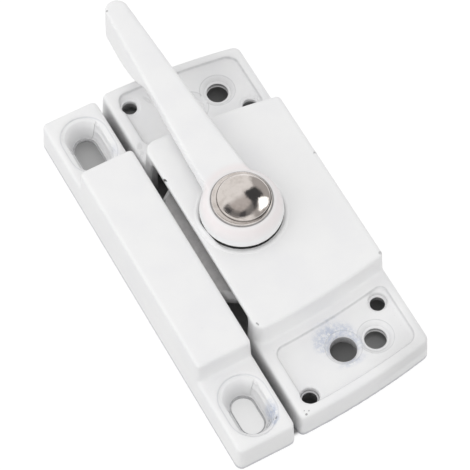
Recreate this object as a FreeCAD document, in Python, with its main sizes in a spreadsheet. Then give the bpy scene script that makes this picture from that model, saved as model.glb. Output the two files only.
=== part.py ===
"""Sliding window lock: cast housing with a turning lever and cam, and the cast keeper beside it.

Frame, in millimetres: the origin is where the lever's pivot axis meets the mounting plane.
+Z is up along the pivot axis, +Y runs along the lever towards its tip, and -X points from the
housing across to the keeper. The model is in the locked position.
"""
import FreeCAD, Part
import math
import os

import Sketcher

SHEET_NAME = "Sizes"
ORIGIN_POINT = (-1, 1)
X_AXIS_LINE = -1
Y_AXIS_LINE = -2
START, END, CENTRE = 1, 2, 3
FULL_TURN = 360.0
SAME = 0.02

DIMENSIONS = {
    # Housing outline, measured on the mounting plane
    "housing_middle": -0.6,
    "housing_half_length": 40.2,
    "housing_gap_side": 10.05,
    "housing_far_side": 19.5,
    "housing_end_radius": 150.0,
    "housing_far_corner": 1.6,
    "housing_gap_corner": 1.2,
    "housing_tab_height": 7.0,
    "housing_wall": 2.0,
    "housing_rim_round": 0.8,
    "draft_angle": 2.5,
    "cut_margin": 1.0,
    # Raised box of the housing
    "box_half_length": 23.3,
    "box_height": 12.8,
    "box_gap_corner": 2.4,
    "box_far_corner": 0.9,
    "box_rim_round": 0.5,
    "box_roof": 1.9,
    "mouth_half_length": 19.0,
    "mouth_corner": 1.0,
    # Sunk panels on the two tabs
    "panel_depth": 1.0,
    "panel_inner": 25.0,
    "panel_outer": 38.0,
    "panel_gap_side": 7.4,
    "panel_far_side": 17.4,
    "panel_corner": 1.9,
    "tab_underside": 2.6,
    # Screw holes and small holes of the tabs
    "screw_middle": -1.05,
    "screw_near_x": 4.6,
    "screw_near_half": 29.85,
    "screw_far_x": 11.0,
    "screw_far_half": 30.75,
    "screw_hole_radius": 2.55,
    "screw_seat_width": 0.95,
    "corner_hole_x": -5.9,
    "corner_hole_half": 35.6,
    "shoulder_hole_x": 14.95,
    "shoulder_hole_half": 24.65,
    "small_hole_radius": 1.85,
    # Keeper
    "keeper_middle": -1.25,
    "keeper_half_length": 40.1,
    "keeper_far_side": 23.45,
    "keeper_gap_side": 11.08,
    "keeper_corner": 1.4,
    "keeper_tab_height": 7.4,
    "keeper_wall": 2.0,
    "keeper_rim_round": 0.65,
    "block_half_length": 24.1,
    "block_height": 13.2,
    "block_roof": 2.0,
    "block_corner": 1.3,
    "block_rim_round": 0.65,
    "strike_half_length": 16.5,
    "strike_gap": 0.5,
    "keeper_slot_middle": -1.55,
    "keeper_slot_half_spacing": 31.65,
    "keeper_slot_x": 17.05,
    "keeper_slot_radius": 2.45,
    "keeper_slot_reach": 1.75,
    "counterbore_radius": 4.1,
    "counterbore_half_width": 3.7,
    "counterbore_reach": 2.3,
    "counterbore_floor": 2.9,
    "counterbore_rim": 0.45,
    "seat_angle": 45.0,
    "keeper_tab_underside": 1.3,
    # Lever
    "hub_radius": 8.05,
    "hub_shoulder_height": 1.3,
    "hub_shoulder_inset": 0.15,
    "hub_height": 4.25,
    "hub_top_radius": 6.3,
    "hub_side_round": 4.2,
    "arm_root_half_width": 4.7,
    "arm_tip_radius": 2.3,
    "arm_length": 51.7,
    "arm_lean": -0.45,
    "arm_drop": 0.9,
    "arm_ramp_start": 5.5,
    "arm_ramp_end": 13.5,
    "arm_thickness": 3.0,
    "arm_draft": 1.5,
    "arm_edge_round": 0.5,
    "grip_start": 31.8,
    "grip_shoulder": 36.5,
    "grip_shoulder_height": 10.2,
    "grip_low": 44.5,
    "grip_low_height": 7.8,
    "grip_edge_round": 0.6,
    # Rivet that carries lever and cam
    "rivet_flange_radius": 5.75,
    "rivet_flange_thickness": 0.3,
    "rivet_bevel": 0.25,
    "rivet_dome_radius": 5.0,
    "rivet_dome_step": 0.3,
    "rivet_dome_rise": 1.5,
    "rivet_upper_square": 6.0,
    "rivet_shank_radius": 3.0,
    "rivet_lower_square": 4.2,
    "rivet_tail_radius": 2.0,
    "rivet_peen_radius": 3.2,
    "rivet_peen_height": 0.8,
    # Bearing parts
    "running_clearance": 0.05,
    "key_clearance": 0.05,
    "hub_washer_radius": 7.9,
    "hub_washer_hole": 3.3,
    "hub_washer_thickness": 0.8,
    "bush_radius": 4.2,
    "bearing_boss_radius": 6.4,
    "bearing_boss_height": 0.5,
    "spring_washer_radius": 5.1,
    "spring_washer_thickness": 0.3,
    "spring_washer_height": 0.6,
    # Cam and index plate
    "cam_radius": 16.0,
    "cam_hub_radius": 6.5,
    "cam_thickness": 2.4,
    "cam_lead_in": 0.8,
    "index_plate_radius": 5.4,
    "index_plate_flat": 4.9,
    "index_plate_thickness": 1.0,
    "backing_washer_radius": 4.8,
    "backing_washer_thickness": 0.8,
    # Stop pin
    "stop_distance": 9.0,
    "stop_pin_radius": 2.0,
    "stop_pin_depth": 1.0,
    "stop_boss_wall": 1.2,
    "stop_boss_height": 0.9,
    "stop_gap": 0.2,
    "stop_pin_below": 0.3,
    # Detent spring and its rivets
    "detent_gap": 0.3,
    "detent_thickness": 0.35,
    "detent_over_cam": 0.25,
    "detent_under_boss": 0.2,
    "detent_half_length": 9.0,
    "detent_bow": 1.6,
    "detent_foot_length": 4.4,
    "detent_foot_width": 4.6,
    "spring_rivet_radius": 1.1,
    "spring_rivet_depth": 1.0,
    "spring_rivet_head": 1.8,
    "spring_rivet_head_height": 0.6,
}

document = FreeCAD.newDocument("WindowLock")
sheet = document.addObject("Spreadsheet::Sheet", SHEET_NAME)


class Size:
    """A number together with the spreadsheet formula that gives it."""

    def __init__(self, number, formula):
        self.number = number
        self.formula = formula

    @staticmethod
    def of(value):
        """Wraps a plain number, and passes a Size on as it is."""
        return value if isinstance(value, Size) else Size(float(value), f"{float(value)}")

    def _join(self, other, sign, number):
        return Size(number, f"({self.formula} {sign} {Size.of(other).formula})")

    def __add__(self, other):
        return self._join(other, "+", self.number + Size.of(other).number)

    def __sub__(self, other):
        return self._join(other, "-", self.number - Size.of(other).number)

    def __mul__(self, other):
        return self._join(other, "*", self.number * Size.of(other).number)

    def __truediv__(self, other):
        return self._join(other, "/", self.number / Size.of(other).number)

    def __rsub__(self, other):
        return Size.of(other) - self

    def __rmul__(self, other):
        return Size.of(other) * self

    def __neg__(self):
        return Size(-self.number, f"(-1 * {self.formula})")

    def root(self):
        """The square root."""
        return Size(math.sqrt(self.number), f"sqrt({self.formula})")

def fill_sheet():
    """Writes every driving dimension into its own aliased cell."""
    for row, (name, value) in enumerate(DIMENSIONS.items(), start=1):
        sheet.set(f"A{row}", name)
        sheet.set(f"B{row}", f"{value}")
        sheet.setAlias(f"B{row}", name)
    document.recompute()


def size(name):
    """The driving dimension called name."""
    return Size(DIMENSIONS[name], f"{SHEET_NAME}.{name}")


def bind(feature, prop, value):
    """Sets a property and ties it to the spreadsheet."""
    value = Size.of(value)
    setattr(feature, prop, value.number)
    feature.setExpression(prop, value.formula)


def new_body(name):
    """An empty body that will be one piece of the lock."""
    body = document.addObject("PartDesign::Body", name)
    body.Label = name
    body.Placement = FreeCAD.Placement()
    return body


def origin_feature(body, role):
    """An origin plane or axis of a body, by its role."""
    return next(item for item in body.Origin.OriginFeatures if item.Role == role)


def new_sketch(body, name, plane="XY_Plane", level=0):
    """A sketch on an origin plane of the body, moved along the plane's normal by level."""
    sketch = body.newObject("Sketcher::SketchObject", name)
    sketch.AttachmentSupport = [(origin_feature(body, plane), "")]
    sketch.MapMode = "FlatFace"
    level = Size.of(level)
    sketch.AttachmentOffset = FreeCAD.Placement(FreeCAD.Vector(0, 0, level.number), FreeCAD.Rotation())
    sketch.setExpression("AttachmentOffset.Base.z", level.formula)
    return sketch


def drive(sketch, kind, value, *target):
    """Adds a dimension to a sketch and ties it to the spreadsheet."""
    value = Size.of(value)
    index = sketch.addConstraint(Sketcher.Constraint(kind, *target, value.number))
    name = f"size{index}"
    sketch.renameConstraint(index, name)
    sketch.setExpression(f"Constraints.{name}", value.formula)


def pin_point(sketch, geometry, position, point):
    """Holds a point of a sketch at (x, y)."""
    x, y = Size.of(point[0]), Size.of(point[1])
    if x.number == 0:
        sketch.addConstraint(Sketcher.Constraint("PointOnObject", geometry, position, Y_AXIS_LINE))
    else:
        drive(sketch, "DistanceX", x, *ORIGIN_POINT, geometry, position)
    if y.number == 0:
        sketch.addConstraint(Sketcher.Constraint("PointOnObject", geometry, position, X_AXIS_LINE))
    else:
        drive(sketch, "DistanceY", y, *ORIGIN_POINT, geometry, position)


class Bend:
    """An arc side of an outline: its radius, which side its centre is on, and whether it is the long way."""

    def __init__(self, radius, centre_left=True, long_way=False):
        self.radius = Size.of(radius)
        self.centre_left = centre_left
        self.long_way = long_way

    def arc(self, first, last):
        """The arc from first to last, which runs anticlockwise where its centre is on the left."""
        chord = last - first
        half = chord.Length / 2
        offset = math.sqrt(max(self.radius.number ** 2 - half ** 2, 0))
        if self.long_way:
            offset = -offset
        left = FreeCAD.Vector(-chord.y, chord.x, 0).normalize()
        centre = (first + last) / 2 + left * (offset if self.centre_left else -offset)
        start, end = (first, last) if self.centre_left else (last, first)
        angles = [math.atan2(point.y - centre.y, point.x - centre.x) for point in (start, end)]
        circle = Part.Circle(centre, FreeCAD.Vector(0, 0, 1), self.radius.number)
        return Part.ArcOfCircle(circle, *angles)


def draw_outline(sketch, corners, bends=None):
    """Draws a closed outline through corners; bends maps a side's number to its Bend."""
    bends = bends or {}
    points = [FreeCAD.Vector(Size.of(x).number, Size.of(y).number, 0) for x, y in corners]
    count = len(points)
    ends = []
    for side in range(count):
        first, last = points[side], points[(side + 1) % count]
        bend = bends.get(side)
        shape = bend.arc(first, last) if bend else Part.LineSegment(first, last)
        index = sketch.addGeometry(shape)
        ends.append((index, END, START) if bend and not bend.centre_left else (index, START, END))
    for side in range(count):
        index, _, end = ends[side]
        following, start, _ = ends[(side + 1) % count]
        sketch.addConstraint(Sketcher.Constraint("Coincident", index, end, following, start))
    for side in range(count):
        index, start, _ = ends[side]
        pin_point(sketch, index, start, corners[side])
        if side in bends:
            drive(sketch, "Radius", bends[side].radius, index)


def draw_circle(sketch, centre, radius):
    """Draws a circle."""
    radius = Size.of(radius)
    place = FreeCAD.Vector(Size.of(centre[0]).number, Size.of(centre[1]).number, 0)
    index = sketch.addGeometry(Part.Circle(place, FreeCAD.Vector(0, 0, 1), radius.number))
    pin_point(sketch, index, CENTRE, centre)
    drive(sketch, "Radius", radius, index)


def draw_slot(sketch, centre, reach, radius):
    """Draws a round-ended slot along Y, with its end centres reach from its middle."""
    x, y = centre
    reach, radius = Size.of(reach), Size.of(radius)
    middle = FreeCAD.Vector(Size.of(x).number, Size.of(y).number, 0)
    along = FreeCAD.Vector(0, reach.number, 0)
    across = FreeCAD.Vector(radius.number, 0, 0)
    normal = FreeCAD.Vector(0, 0, 1)
    top = sketch.addGeometry(Part.ArcOfCircle(Part.Circle(middle + along, normal, radius.number), 0, math.pi))
    left = sketch.addGeometry(Part.LineSegment(middle + along - across, middle - along - across))
    bottom_circle = Part.Circle(middle - along, normal, radius.number)
    bottom = sketch.addGeometry(Part.ArcOfCircle(bottom_circle, math.pi, 2 * math.pi))
    right = sketch.addGeometry(Part.LineSegment(middle - along + across, middle + along + across))
    ring = [top, left, bottom, right]
    for index, following in zip(ring, ring[1:] + ring[:1]):
        sketch.addConstraint(Sketcher.Constraint("Tangent", index, END, following, START))
    pin_point(sketch, top, CENTRE, (x, y + reach))
    pin_point(sketch, bottom, CENTRE, (x, y - reach))
    drive(sketch, "Radius", radius, top)


def pad(body, sketch, length, draft=None, downward=False):
    """Adds material from a sketch, narrowing by draft degrees along the way."""
    feature = body.newObject("PartDesign::Pad", f"{sketch.Name}_pad")
    feature.Profile = sketch
    feature.Type = "Length"
    feature.Reversed = downward
    bind(feature, "Length", length)
    if draft is not None:
        bind(feature, "TaperAngle", -draft)
    sketch.Visibility = False
    document.recompute()
    return feature


def pocket(body, sketch, depth, upward=False, symmetric=False, slope=0):
    """Cuts a sketch out of the body, narrowing by slope degrees, and checks that something was cut."""
    before = body.Shape.Volume
    feature = body.newObject("PartDesign::Pocket", f"{sketch.Name}_pocket")
    feature.Profile = sketch
    feature.Type = "Length"
    feature.Reversed = upward
    if symmetric:
        feature.SideType = "Symmetric"
    bind(feature, "Length", depth)
    bind(feature, "TaperAngle", -Size.of(slope))
    sketch.Visibility = False
    document.recompute()
    if body.Shape.Volume >= before:
        raise ValueError(f"{feature.Name} cut nothing")
    return feature


def join(body, other):
    """Joins another body to this one."""
    feature = body.newObject("PartDesign::Boolean", f"{other.Name}_join")
    feature.Type = "Fuse"
    feature.addObject(other)
    document.recompute()


def revolve(body, sketch):
    """Adds a full turn of a profile about the Z axis."""
    feature = body.newObject("PartDesign::Revolution", f"{sketch.Name}_turn")
    feature.Profile = sketch
    feature.ReferenceAxis = (origin_feature(body, "Z_Axis"), [""])
    feature.Angle = FULL_TURN
    sketch.Visibility = False
    document.recompute()
    return feature


def dress(body, kind, name, value, choose):
    """Rounds or chamfers the edges of the body that choose accepts."""
    base = body.Tip
    edges = [f"Edge{number}" for number, edge in enumerate(base.Shape.Edges, start=1) if choose(edge)]
    if not edges:
        raise ValueError(f"{name} found no edge")
    feature = body.newObject(f"PartDesign::{kind}", name)
    feature.Base = (base, edges)
    bind(feature, "Radius" if kind == "Fillet" else "Size", value)
    document.recompute()
    if {"Invalid", "Error"} & set(feature.State):
        raise ValueError(f"{name} failed on {len(edges)} edges")
    return feature


def middle_of(edge):
    """The point half-way along an edge."""
    return edge.valueAt((edge.FirstParameter + edge.LastParameter) / 2)


def near(first, last):
    """Whether two numbers agree closely."""
    return abs(first - last) < SAME


def end_heights(edge):
    """Heights of the lower and the upper end of an edge."""
    heights = [vertex.Point.z for vertex in edge.Vertexes]
    return min(heights), max(heights)


def is_level(edge, height):
    """Whether all of an edge lies at one height."""
    low, high = end_heights(edge)
    return near(low, height) and near(high, height) and near(middle_of(edge).z, height)


def is_upright(edge, low, high):
    """Whether an edge climbs steeply from one height to the other."""
    bottom, top = end_heights(edge)
    run = max(edge.BoundBox.XLength, edge.BoundBox.YLength)
    return near(bottom, low) and near(top, high) and run < high - low


def end_drop(x):
    """How far the housing's curved ends have fallen back at a distance x from the pivot axis."""
    run = x + size("housing_gap_side")
    radius = size("housing_end_radius")
    return radius - (radius * radius - run * run).root()


def curved_end_outline(left, right, half, middle):
    """Corners and bends of an outline with straight sides and the housing's curved ends."""
    left_half = half - end_drop(left)
    right_half = half - end_drop(right)
    corners = [(left, middle - left_half), (right, middle - right_half),
               (right, middle + right_half), (left, middle + left_half)]
    bend = Bend(size("housing_end_radius"))
    return corners, {0: bend, 2: bend}


def box_outline(half_x, half_y, middle=(0, 0)):
    """Corners of a rectangle, from its half sizes and its middle."""
    x, y = Size.of(middle[0]), Size.of(middle[1])
    return [(x - half_x, y - half_y), (x + half_x, y - half_y),
            (x + half_x, y + half_y), (x - half_x, y + half_y)]


def rounded_outline(half_x, half_y, middle, radius):
    """Corners and bends of a rectangle with rounded corners."""
    x, y = middle
    flat_x, flat_y = half_x - radius, half_y - radius
    corners = [(x - flat_x, y - half_y), (x + flat_x, y - half_y), (x + half_x, y - flat_y),
               (x + half_x, y + flat_y), (x + flat_x, y + half_y), (x - flat_x, y + half_y),
               (x - half_x, y + flat_y), (x - half_x, y - flat_y)]
    return corners, {side: Bend(radius) for side in range(1, 8, 2)}


def ceiling():
    """Height of the ceiling inside the housing's box."""
    return size("box_height") - size("box_roof")


def boss_face():
    """Height of the lower face of the bearing boss."""
    return ceiling() - size("bearing_boss_height")


def index_top():
    """Height of the top of the index plate."""
    return boss_face() - size("spring_washer_height")


def cam_top():
    """Height of the top of the cam."""
    return index_top() - size("index_plate_thickness")


def cam_bottom():
    """Height of the underside of the cam."""
    return cam_top() - size("cam_thickness")


def panel_floor():
    """Height of the floor of the sunk panels."""
    return size("housing_tab_height") - size("panel_depth")


def hub_base():
    """Height of the underside of the lever's hub."""
    return size("box_height") + size("hub_washer_thickness") + size("running_clearance")


def hub_top():
    """Height of the flat top of the lever's hub."""
    return hub_base() + size("hub_height")


def arm_top():
    """Height of the flat top of the lever's arm."""
    return hub_top() - size("arm_drop")


def screw_places():
    """Centres of the four screw holes of the housing."""
    middle = size("screw_middle")
    rows = [(size("screw_near_x"), size("screw_near_half")), (size("screw_far_x"), size("screw_far_half"))]
    return [(x, middle + half * sign) for x, half in rows for sign in (-1, 1)]


def small_hole_places():
    """Centres of the four small holes of the housing."""
    middle = size("screw_middle")
    rows = [(size("corner_hole_x"), size("corner_hole_half")),
            (size("shoulder_hole_x"), size("shoulder_hole_half"))]
    return [(x, middle + half * sign) for x, half in rows for sign in (-1, 1)]


def blade_root():
    """Distance from the pivot axis to the inner face of the detent spring where its feet begin."""
    return size("index_plate_radius") + size("detent_gap") + size("detent_bow")


def spring_foot():
    """Centre of the foot of the detent spring on the lever's side of the pivot axis."""
    return (blade_root() + size("detent_foot_width") / 2,
            size("detent_half_length") + size("detent_foot_length") / 2)


def make_housing():
    """The cast housing: two tabs with sunk panels and a raised box, hollow from below."""
    body = new_body("lock_housing")
    cast_housing_outside(body)
    cut_housing_panels(body)
    cut_housing_inside(body)
    bore_housing(body)
    return body


def cast_housing_outside(body):
    """The outer shape of the housing, with drafted walls and rounded rims."""
    middle, draft = size("housing_middle"), size("draft_angle")
    left, right = -size("housing_gap_side"), size("housing_far_side")
    tab, top = size("housing_tab_height"), size("box_height")

    for part, height in (("housing", tab), ("box", top)):
        piece = body if part == "housing" else new_body("housing_box")
        plan = new_sketch(piece, f"{part}_plan")
        half = size(f"{part}_half_length")
        draw_outline(plan, *curved_end_outline(left, right, half, middle))
        pad(piece, plan, height, draft)
        round_corners(piece, part, height.number)
        round_rim(piece, part, height.number)
    join(body, piece)


def round_rim(body, part, height):
    """Rounds the upper rim of a casting."""
    dress(body, "Fillet", f"{part}_rim", size(f"{part}_rim_round"), lambda edge: is_level(edge, height))


def round_corners(body, part, height):
    """Rounds the upright corners of the housing or its box, from the mounting plane to a height."""
    for side, name in ((-1, "gap"), (1, "far")):
        dress(body, "Fillet", f"{part}_{name}_corners", size(f"{part}_{name}_corner"),
              lambda edge: is_upright(edge, 0, height) and middle_of(edge).x * side > 0)


def cut_housing_panels(body):
    """The sunk panel of each tab, bounded by the same curves as the tab's end."""
    middle = size("housing_middle")
    left, right = -size("panel_gap_side"), size("panel_far_side")
    inner, outer = size("panel_inner"), size("panel_outer")
    for sign, name in ((-1, "panel_low"), (1, "panel_high")):
        panel = new_sketch(body, name, level=size("housing_tab_height"))
        corners = [(left, middle + (inner - end_drop(left)) * sign),
                   (right, middle + (inner - end_drop(right)) * sign),
                   (right, middle + (outer - end_drop(right)) * sign),
                   (left, middle + (outer - end_drop(left)) * sign)]
        radius = size("housing_end_radius")
        draw_outline(panel, corners, {0: Bend(radius, sign < 0), 2: Bend(radius, sign > 0)})
        pocket(body, panel, size("panel_depth"))
    floor, tab = panel_floor().number, DIMENSIONS["housing_tab_height"]
    dress(body, "Fillet", "panel_corners", size("panel_corner"), lambda edge: is_upright(edge, floor, tab))


def cut_housing_inside(body):
    """The hollow under the tabs, the taller room in the box, the bosses and the cam's mouth."""
    middle, wall = size("housing_middle"), size("housing_wall")
    left, right = wall - size("housing_gap_side"), size("housing_far_side") - wall
    hollow = new_sketch(body, "tab_hollow")
    draw_outline(hollow, *curved_end_outline(left, right, size("housing_half_length") - wall, middle))
    pocket(body, hollow, size("tab_underside"), upward=True)
    room = new_sketch(body, "box_room")
    draw_outline(room, *curved_end_outline(left, right, size("box_half_length") - wall, middle))
    pocket(body, room, ceiling(), upward=True)

    boss = new_sketch(body, "bearing_boss", level=boss_face())
    draw_circle(boss, (0, 0), size("bearing_boss_radius"))
    pad(body, boss, size("bearing_boss_height") + size("box_roof") / 2)
    stop = new_sketch(body, "stop_boss", level=ceiling() - size("stop_boss_height"))
    draw_circle(stop, (0, -size("stop_distance")), size("stop_pin_radius") + size("stop_boss_wall"))
    pad(body, stop, size("stop_boss_height") + size("box_roof") / 2)

    mouth = new_sketch(body, "cam_mouth", "YZ_Plane", wall / 2 - size("housing_gap_side"))
    draw_mouth(mouth, middle, size("mouth_half_length"), ceiling(), size("mouth_corner"))
    pocket(body, mouth, wall * 2, symmetric=True)


def draw_mouth(sketch, middle, half, top, corner):
    """The outline of an opening that starts below the mounting plane and has rounded upper corners."""
    left, right = middle - half, middle + half
    low = -size("cut_margin")
    corners = [(left, low), (right, low), (right, top - corner), (right - corner, top),
               (left + corner, top), (left, top - corner)]
    draw_outline(sketch, corners, {2: Bend(corner), 4: Bend(corner)})


def bore_housing(body):
    """The screw holes, the small holes and the bores for the bush, stop pin and spring rivets."""
    tab = size("housing_tab_height")
    screws = new_sketch(body, "screw_holes", level=tab)
    for place in screw_places():
        draw_circle(screws, place, size("screw_hole_radius"))
    pocket(body, screws, tab)
    width = size("screw_seat_width")
    for row, places in (("near", screw_places()[:2]), ("far", screw_places()[2:])):
        seats = new_sketch(body, f"screw_seats_{row}", level=panel_floor())
        for place in places:
            draw_circle(seats, place, size("screw_hole_radius") + width)
        pocket(body, seats, width, slope=size("seat_angle"))
    small = new_sketch(body, "small_holes", level=tab)
    for place in small_hole_places():
        draw_circle(small, place, size("small_hole_radius"))
    pocket(body, small, tab)

    bush = new_sketch(body, "bush_bore", level=size("box_height"))
    draw_circle(bush, (0, 0), size("bush_radius"))
    pocket(body, bush, size("box_height") / 2)
    roof = ceiling()
    stop = new_sketch(body, "stop_bore", level=roof + size("stop_pin_depth"))
    draw_circle(stop, (0, -size("stop_distance")), size("stop_pin_radius"))
    pocket(body, stop, size("stop_pin_depth") + size("stop_boss_height"))
    x, y = spring_foot()
    rivets = new_sketch(body, "spring_rivet_bores", level=roof + size("spring_rivet_depth"))
    for place in ((x, y), (x, -y)):
        draw_circle(rivets, place, size("spring_rivet_radius"))
    pocket(body, rivets, size("spring_rivet_depth"))


def is_round(edge, radius):
    """Whether an edge is part of a circle of this radius."""
    return isinstance(edge.Curve, Part.Circle) and near(edge.Curve.Radius, radius)


def make_keeper():
    """The cast keeper: a block that the cam turns under, between two tabs with slotted holes."""
    body = new_body("keeper")
    middle, draft, wall = size("keeper_middle"), size("draft_angle"), size("keeper_wall")
    far, gap = size("keeper_far_side"), size("keeper_gap_side")
    centre, half_width = -(far + gap) / 2, (far - gap) / 2
    tab, top = size("keeper_tab_height"), size("block_height")

    for part, height in (("keeper", tab), ("block", top)):
        piece = body if part == "keeper" else new_body("keeper_block")
        plan = new_sketch(piece, f"{part}_plan")
        half = size(f"{part}_half_length")
        draw_outline(plan, *rounded_outline(half_width, half, (centre, middle), size(f"{part}_corner")))
        pad(piece, plan, height, draft)
        round_rim(piece, part, height.number)
    cut_keeper_slots(body)
    join(body, piece)

    hollow = new_sketch(body, "keeper_hollow")
    inner = half_width - wall
    draw_outline(hollow, box_outline(inner, size("keeper_half_length") - wall, (centre, middle)))
    pocket(body, hollow, size("keeper_tab_underside"), upward=True)
    room = new_sketch(body, "block_room")
    draw_outline(room, box_outline(inner, size("block_half_length") - wall, (centre, middle)))
    pocket(body, room, top - size("block_roof"), upward=True)
    mouth = new_sketch(body, "strike_mouth", "YZ_Plane", -gap)
    half = size("strike_half_length")
    draw_mouth(mouth, middle, half, cam_top() + size("strike_gap"), size("mouth_corner"))
    pocket(body, mouth, wall * 3, symmetric=True)
    return body


def cut_keeper_slots(body):
    """The counterbored slots for the keeper's two screws."""
    tab = size("keeper_tab_height")
    x, middle = -size("keeper_slot_x"), size("keeper_slot_middle")
    half = size("keeper_slot_half_spacing")
    places = [(x, middle - half), (x, middle + half)]
    for number, place in enumerate(places, start=1):
        rim = new_sketch(body, f"counterbore_rim_{number}", level=tab)
        draw_counterbore(rim, place, size("counterbore_rim"))
        pocket(body, rim, size("counterbore_rim"), slope=size("seat_angle"))
        seat = new_sketch(body, f"counterbore_{number}", level=tab)
        draw_counterbore(seat, place)
        pocket(body, seat, tab - size("counterbore_floor"))
    slots = new_sketch(body, "keeper_slots", level=tab)
    for place in places:
        draw_slot(slots, place, size("keeper_slot_reach"), size("keeper_slot_radius"))
    pocket(body, slots, tab)


def draw_counterbore(sketch, centre, margin=0):
    """The outline of a keeper screw's counterbore, margin larger all round."""
    x, y = centre
    radius, width = size("counterbore_radius") + margin, size("counterbore_half_width") + margin
    flat = size("counterbore_reach") + (radius * radius - width * width).root()
    corners = [(x - width, y - flat), (x + width, y - flat), (x + width, y + flat), (x - width, y + flat)]
    draw_outline(sketch, corners, {0: Bend(radius), 2: Bend(radius)})


def make_lever():
    """The cast lever: a domed hub with a square hole, and a long arm with a finger grip at its tip."""
    body = new_body("lever_handle")
    arm = new_sketch(body, "arm_plan", level=hub_top())
    root, tip = size("arm_root_half_width"), size("arm_tip_radius")
    straight = size("arm_length") - tip
    lean = size("arm_lean")
    corners = [(-root, 0), (root, 0), (lean + tip, straight), (lean, size("arm_length")),
               (lean - tip, straight)]
    draw_outline(arm, corners, {2: Bend(tip), 3: Bend(tip)})
    pad(body, arm, hub_top() - size("grip_low_height"), -size("arm_draft"), downward=True)
    shape_arm(body)

    hub = new_sketch(body, "hub_profile", "XZ_Plane")
    low, top, outer = hub_base(), hub_top(), size("hub_radius")
    shoulder = low + size("hub_shoulder_height")
    corners = [(0, low), (outer, low), (outer - size("hub_shoulder_inset"), shoulder),
               (size("hub_top_radius"), top), (0, top)]
    draw_outline(hub, corners, {2: Bend(size("hub_side_round"))})
    revolve(body, hub)

    square = new_sketch(body, "hub_square", level=top)
    half = size("rivet_upper_square") / 2 + size("key_clearance")
    draw_outline(square, box_outline(half, half))
    pocket(body, square, size("hub_height"))
    return body


def shape_arm(body):
    """Cuts the arm's sloping top and its underside, which drops to the finger grip."""
    beyond = size("arm_length") + size("arm_tip_radius")
    top, level = hub_top(), arm_top()
    width = size("hub_radius") * 2
    margin = size("cut_margin")
    ramp = new_sketch(body, "arm_ramp", "YZ_Plane")
    draw_outline(ramp, [(size("arm_ramp_start"), top), (size("arm_ramp_end"), level), (beyond, level),
                        (beyond, top + margin), (size("arm_ramp_start"), top + margin)])
    pocket(body, ramp, width, symmetric=True)

    below = size("grip_low_height") - margin
    rise = size("grip_shoulder_height") - size("grip_low_height")
    run = size("grip_low") - size("grip_shoulder")
    grip = new_sketch(body, "arm_underside", "YZ_Plane")
    under = level - size("arm_thickness")
    corners = [(-margin, under), (-margin, below), (size("grip_low"), below),
               (size("grip_low"), size("grip_low_height")),
               (size("grip_shoulder"), size("grip_shoulder_height")), (size("grip_start"), under)]
    bend = Bend((run * run + rise * rise) / (rise * 2), centre_left=False)
    draw_outline(grip, corners, {3: bend})
    pocket(body, grip, width, symmetric=True)
    round_arm(body, level.number, under.number)


def round_arm(body, level, under):
    """Rounds the arm's upper edges and the lower edges of the grip."""
    ramp_end, grip_end = (DIMENSIONS[name] + SAME for name in ("arm_ramp_end", "grip_low"))
    dress(body, "Fillet", "arm_edges", size("arm_edge_round"),
          lambda edge: is_level(edge, level) and middle_of(edge).y > ramp_end)
    dress(body, "Fillet", "grip_edges", size("grip_edge_round"),
          lambda edge: is_level(edge, DIMENSIONS["grip_low_height"]) and middle_of(edge).y > grip_end)


def make_rivet():
    """The rivet that joins lever and cam: domed head, square, round shank, square and peened tail."""
    body = new_body("pivot_rivet")
    base, flange = hub_top(), size("rivet_flange_radius")
    rim = base + size("rivet_flange_thickness")
    ledge = rim + size("rivet_bevel")
    foot = ledge + size("rivet_dome_step")
    dome, rise = size("rivet_dome_radius"), size("rivet_dome_rise")
    head = new_sketch(body, "head_profile", "XZ_Plane")
    corners = [(0, base), (flange, base), (flange, rim), (flange - size("rivet_bevel"), ledge),
               (dome, ledge), (dome, foot), (0, foot + rise)]
    draw_outline(head, corners, {5: Bend((dome * dome + rise * rise) / (rise * 2))})
    revolve(body, head)

    half = size("rivet_upper_square") / 2
    upper = new_sketch(body, "upper_square", level=base)
    draw_outline(upper, box_outline(half, half))
    pad(body, upper, size("hub_height"), downward=True)
    shank = new_sketch(body, "shank", level=hub_base())
    draw_circle(shank, (0, 0), size("rivet_shank_radius"))
    pad(body, shank, hub_base() - index_top(), downward=True)
    half = size("rivet_lower_square") / 2
    lower = new_sketch(body, "lower_square", level=index_top())
    draw_outline(lower, box_outline(half, half))
    pad(body, lower, index_top() - cam_bottom(), downward=True)
    tail = new_sketch(body, "tail", level=cam_bottom())
    draw_circle(tail, (0, 0), size("rivet_tail_radius"))
    washer = size("backing_washer_thickness")
    pad(body, tail, washer, downward=True)
    peen = new_sketch(body, "peen", level=cam_bottom() - washer)
    draw_circle(peen, (0, 0), size("rivet_peen_radius"))
    pad(body, peen, size("rivet_peen_height"), downward=True)
    low = (cam_bottom() - washer - size("rivet_peen_height")).number
    dress(body, "Fillet", "peen_round", size("rivet_peen_height") / 2, lambda edge: is_level(edge, low))
    return body


def make_ring(name, outer, hole, level, thickness):
    """A flat ring standing on a level."""
    body = new_body(name)
    ring = new_sketch(body, f"{name}_ring", level=level)
    draw_circle(ring, (0, 0), outer)
    draw_circle(ring, (0, 0), hole)
    pad(body, ring, thickness)
    return body


def make_hub_washer():
    """The washer between the box and the lever's hub."""
    return make_ring("hub_washer", size("hub_washer_radius"), size("hub_washer_hole"),
                     size("box_height"), size("hub_washer_thickness"))


def make_bush():
    """The bearing bush pressed into the box's roof and boss."""
    hole = size("rivet_shank_radius") + size("running_clearance")
    length = size("box_height") - boss_face()
    return make_ring("pivot_bush", size("bush_radius"), hole, boss_face(), length)


def make_backing_washer():
    """The washer that the rivet's tail is peened over, under the cam."""
    hole = size("rivet_tail_radius") + size("key_clearance")
    thickness = size("backing_washer_thickness")
    level = cam_bottom() - thickness
    return make_ring("backing_washer", size("backing_washer_radius"), hole, level, thickness)


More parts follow.
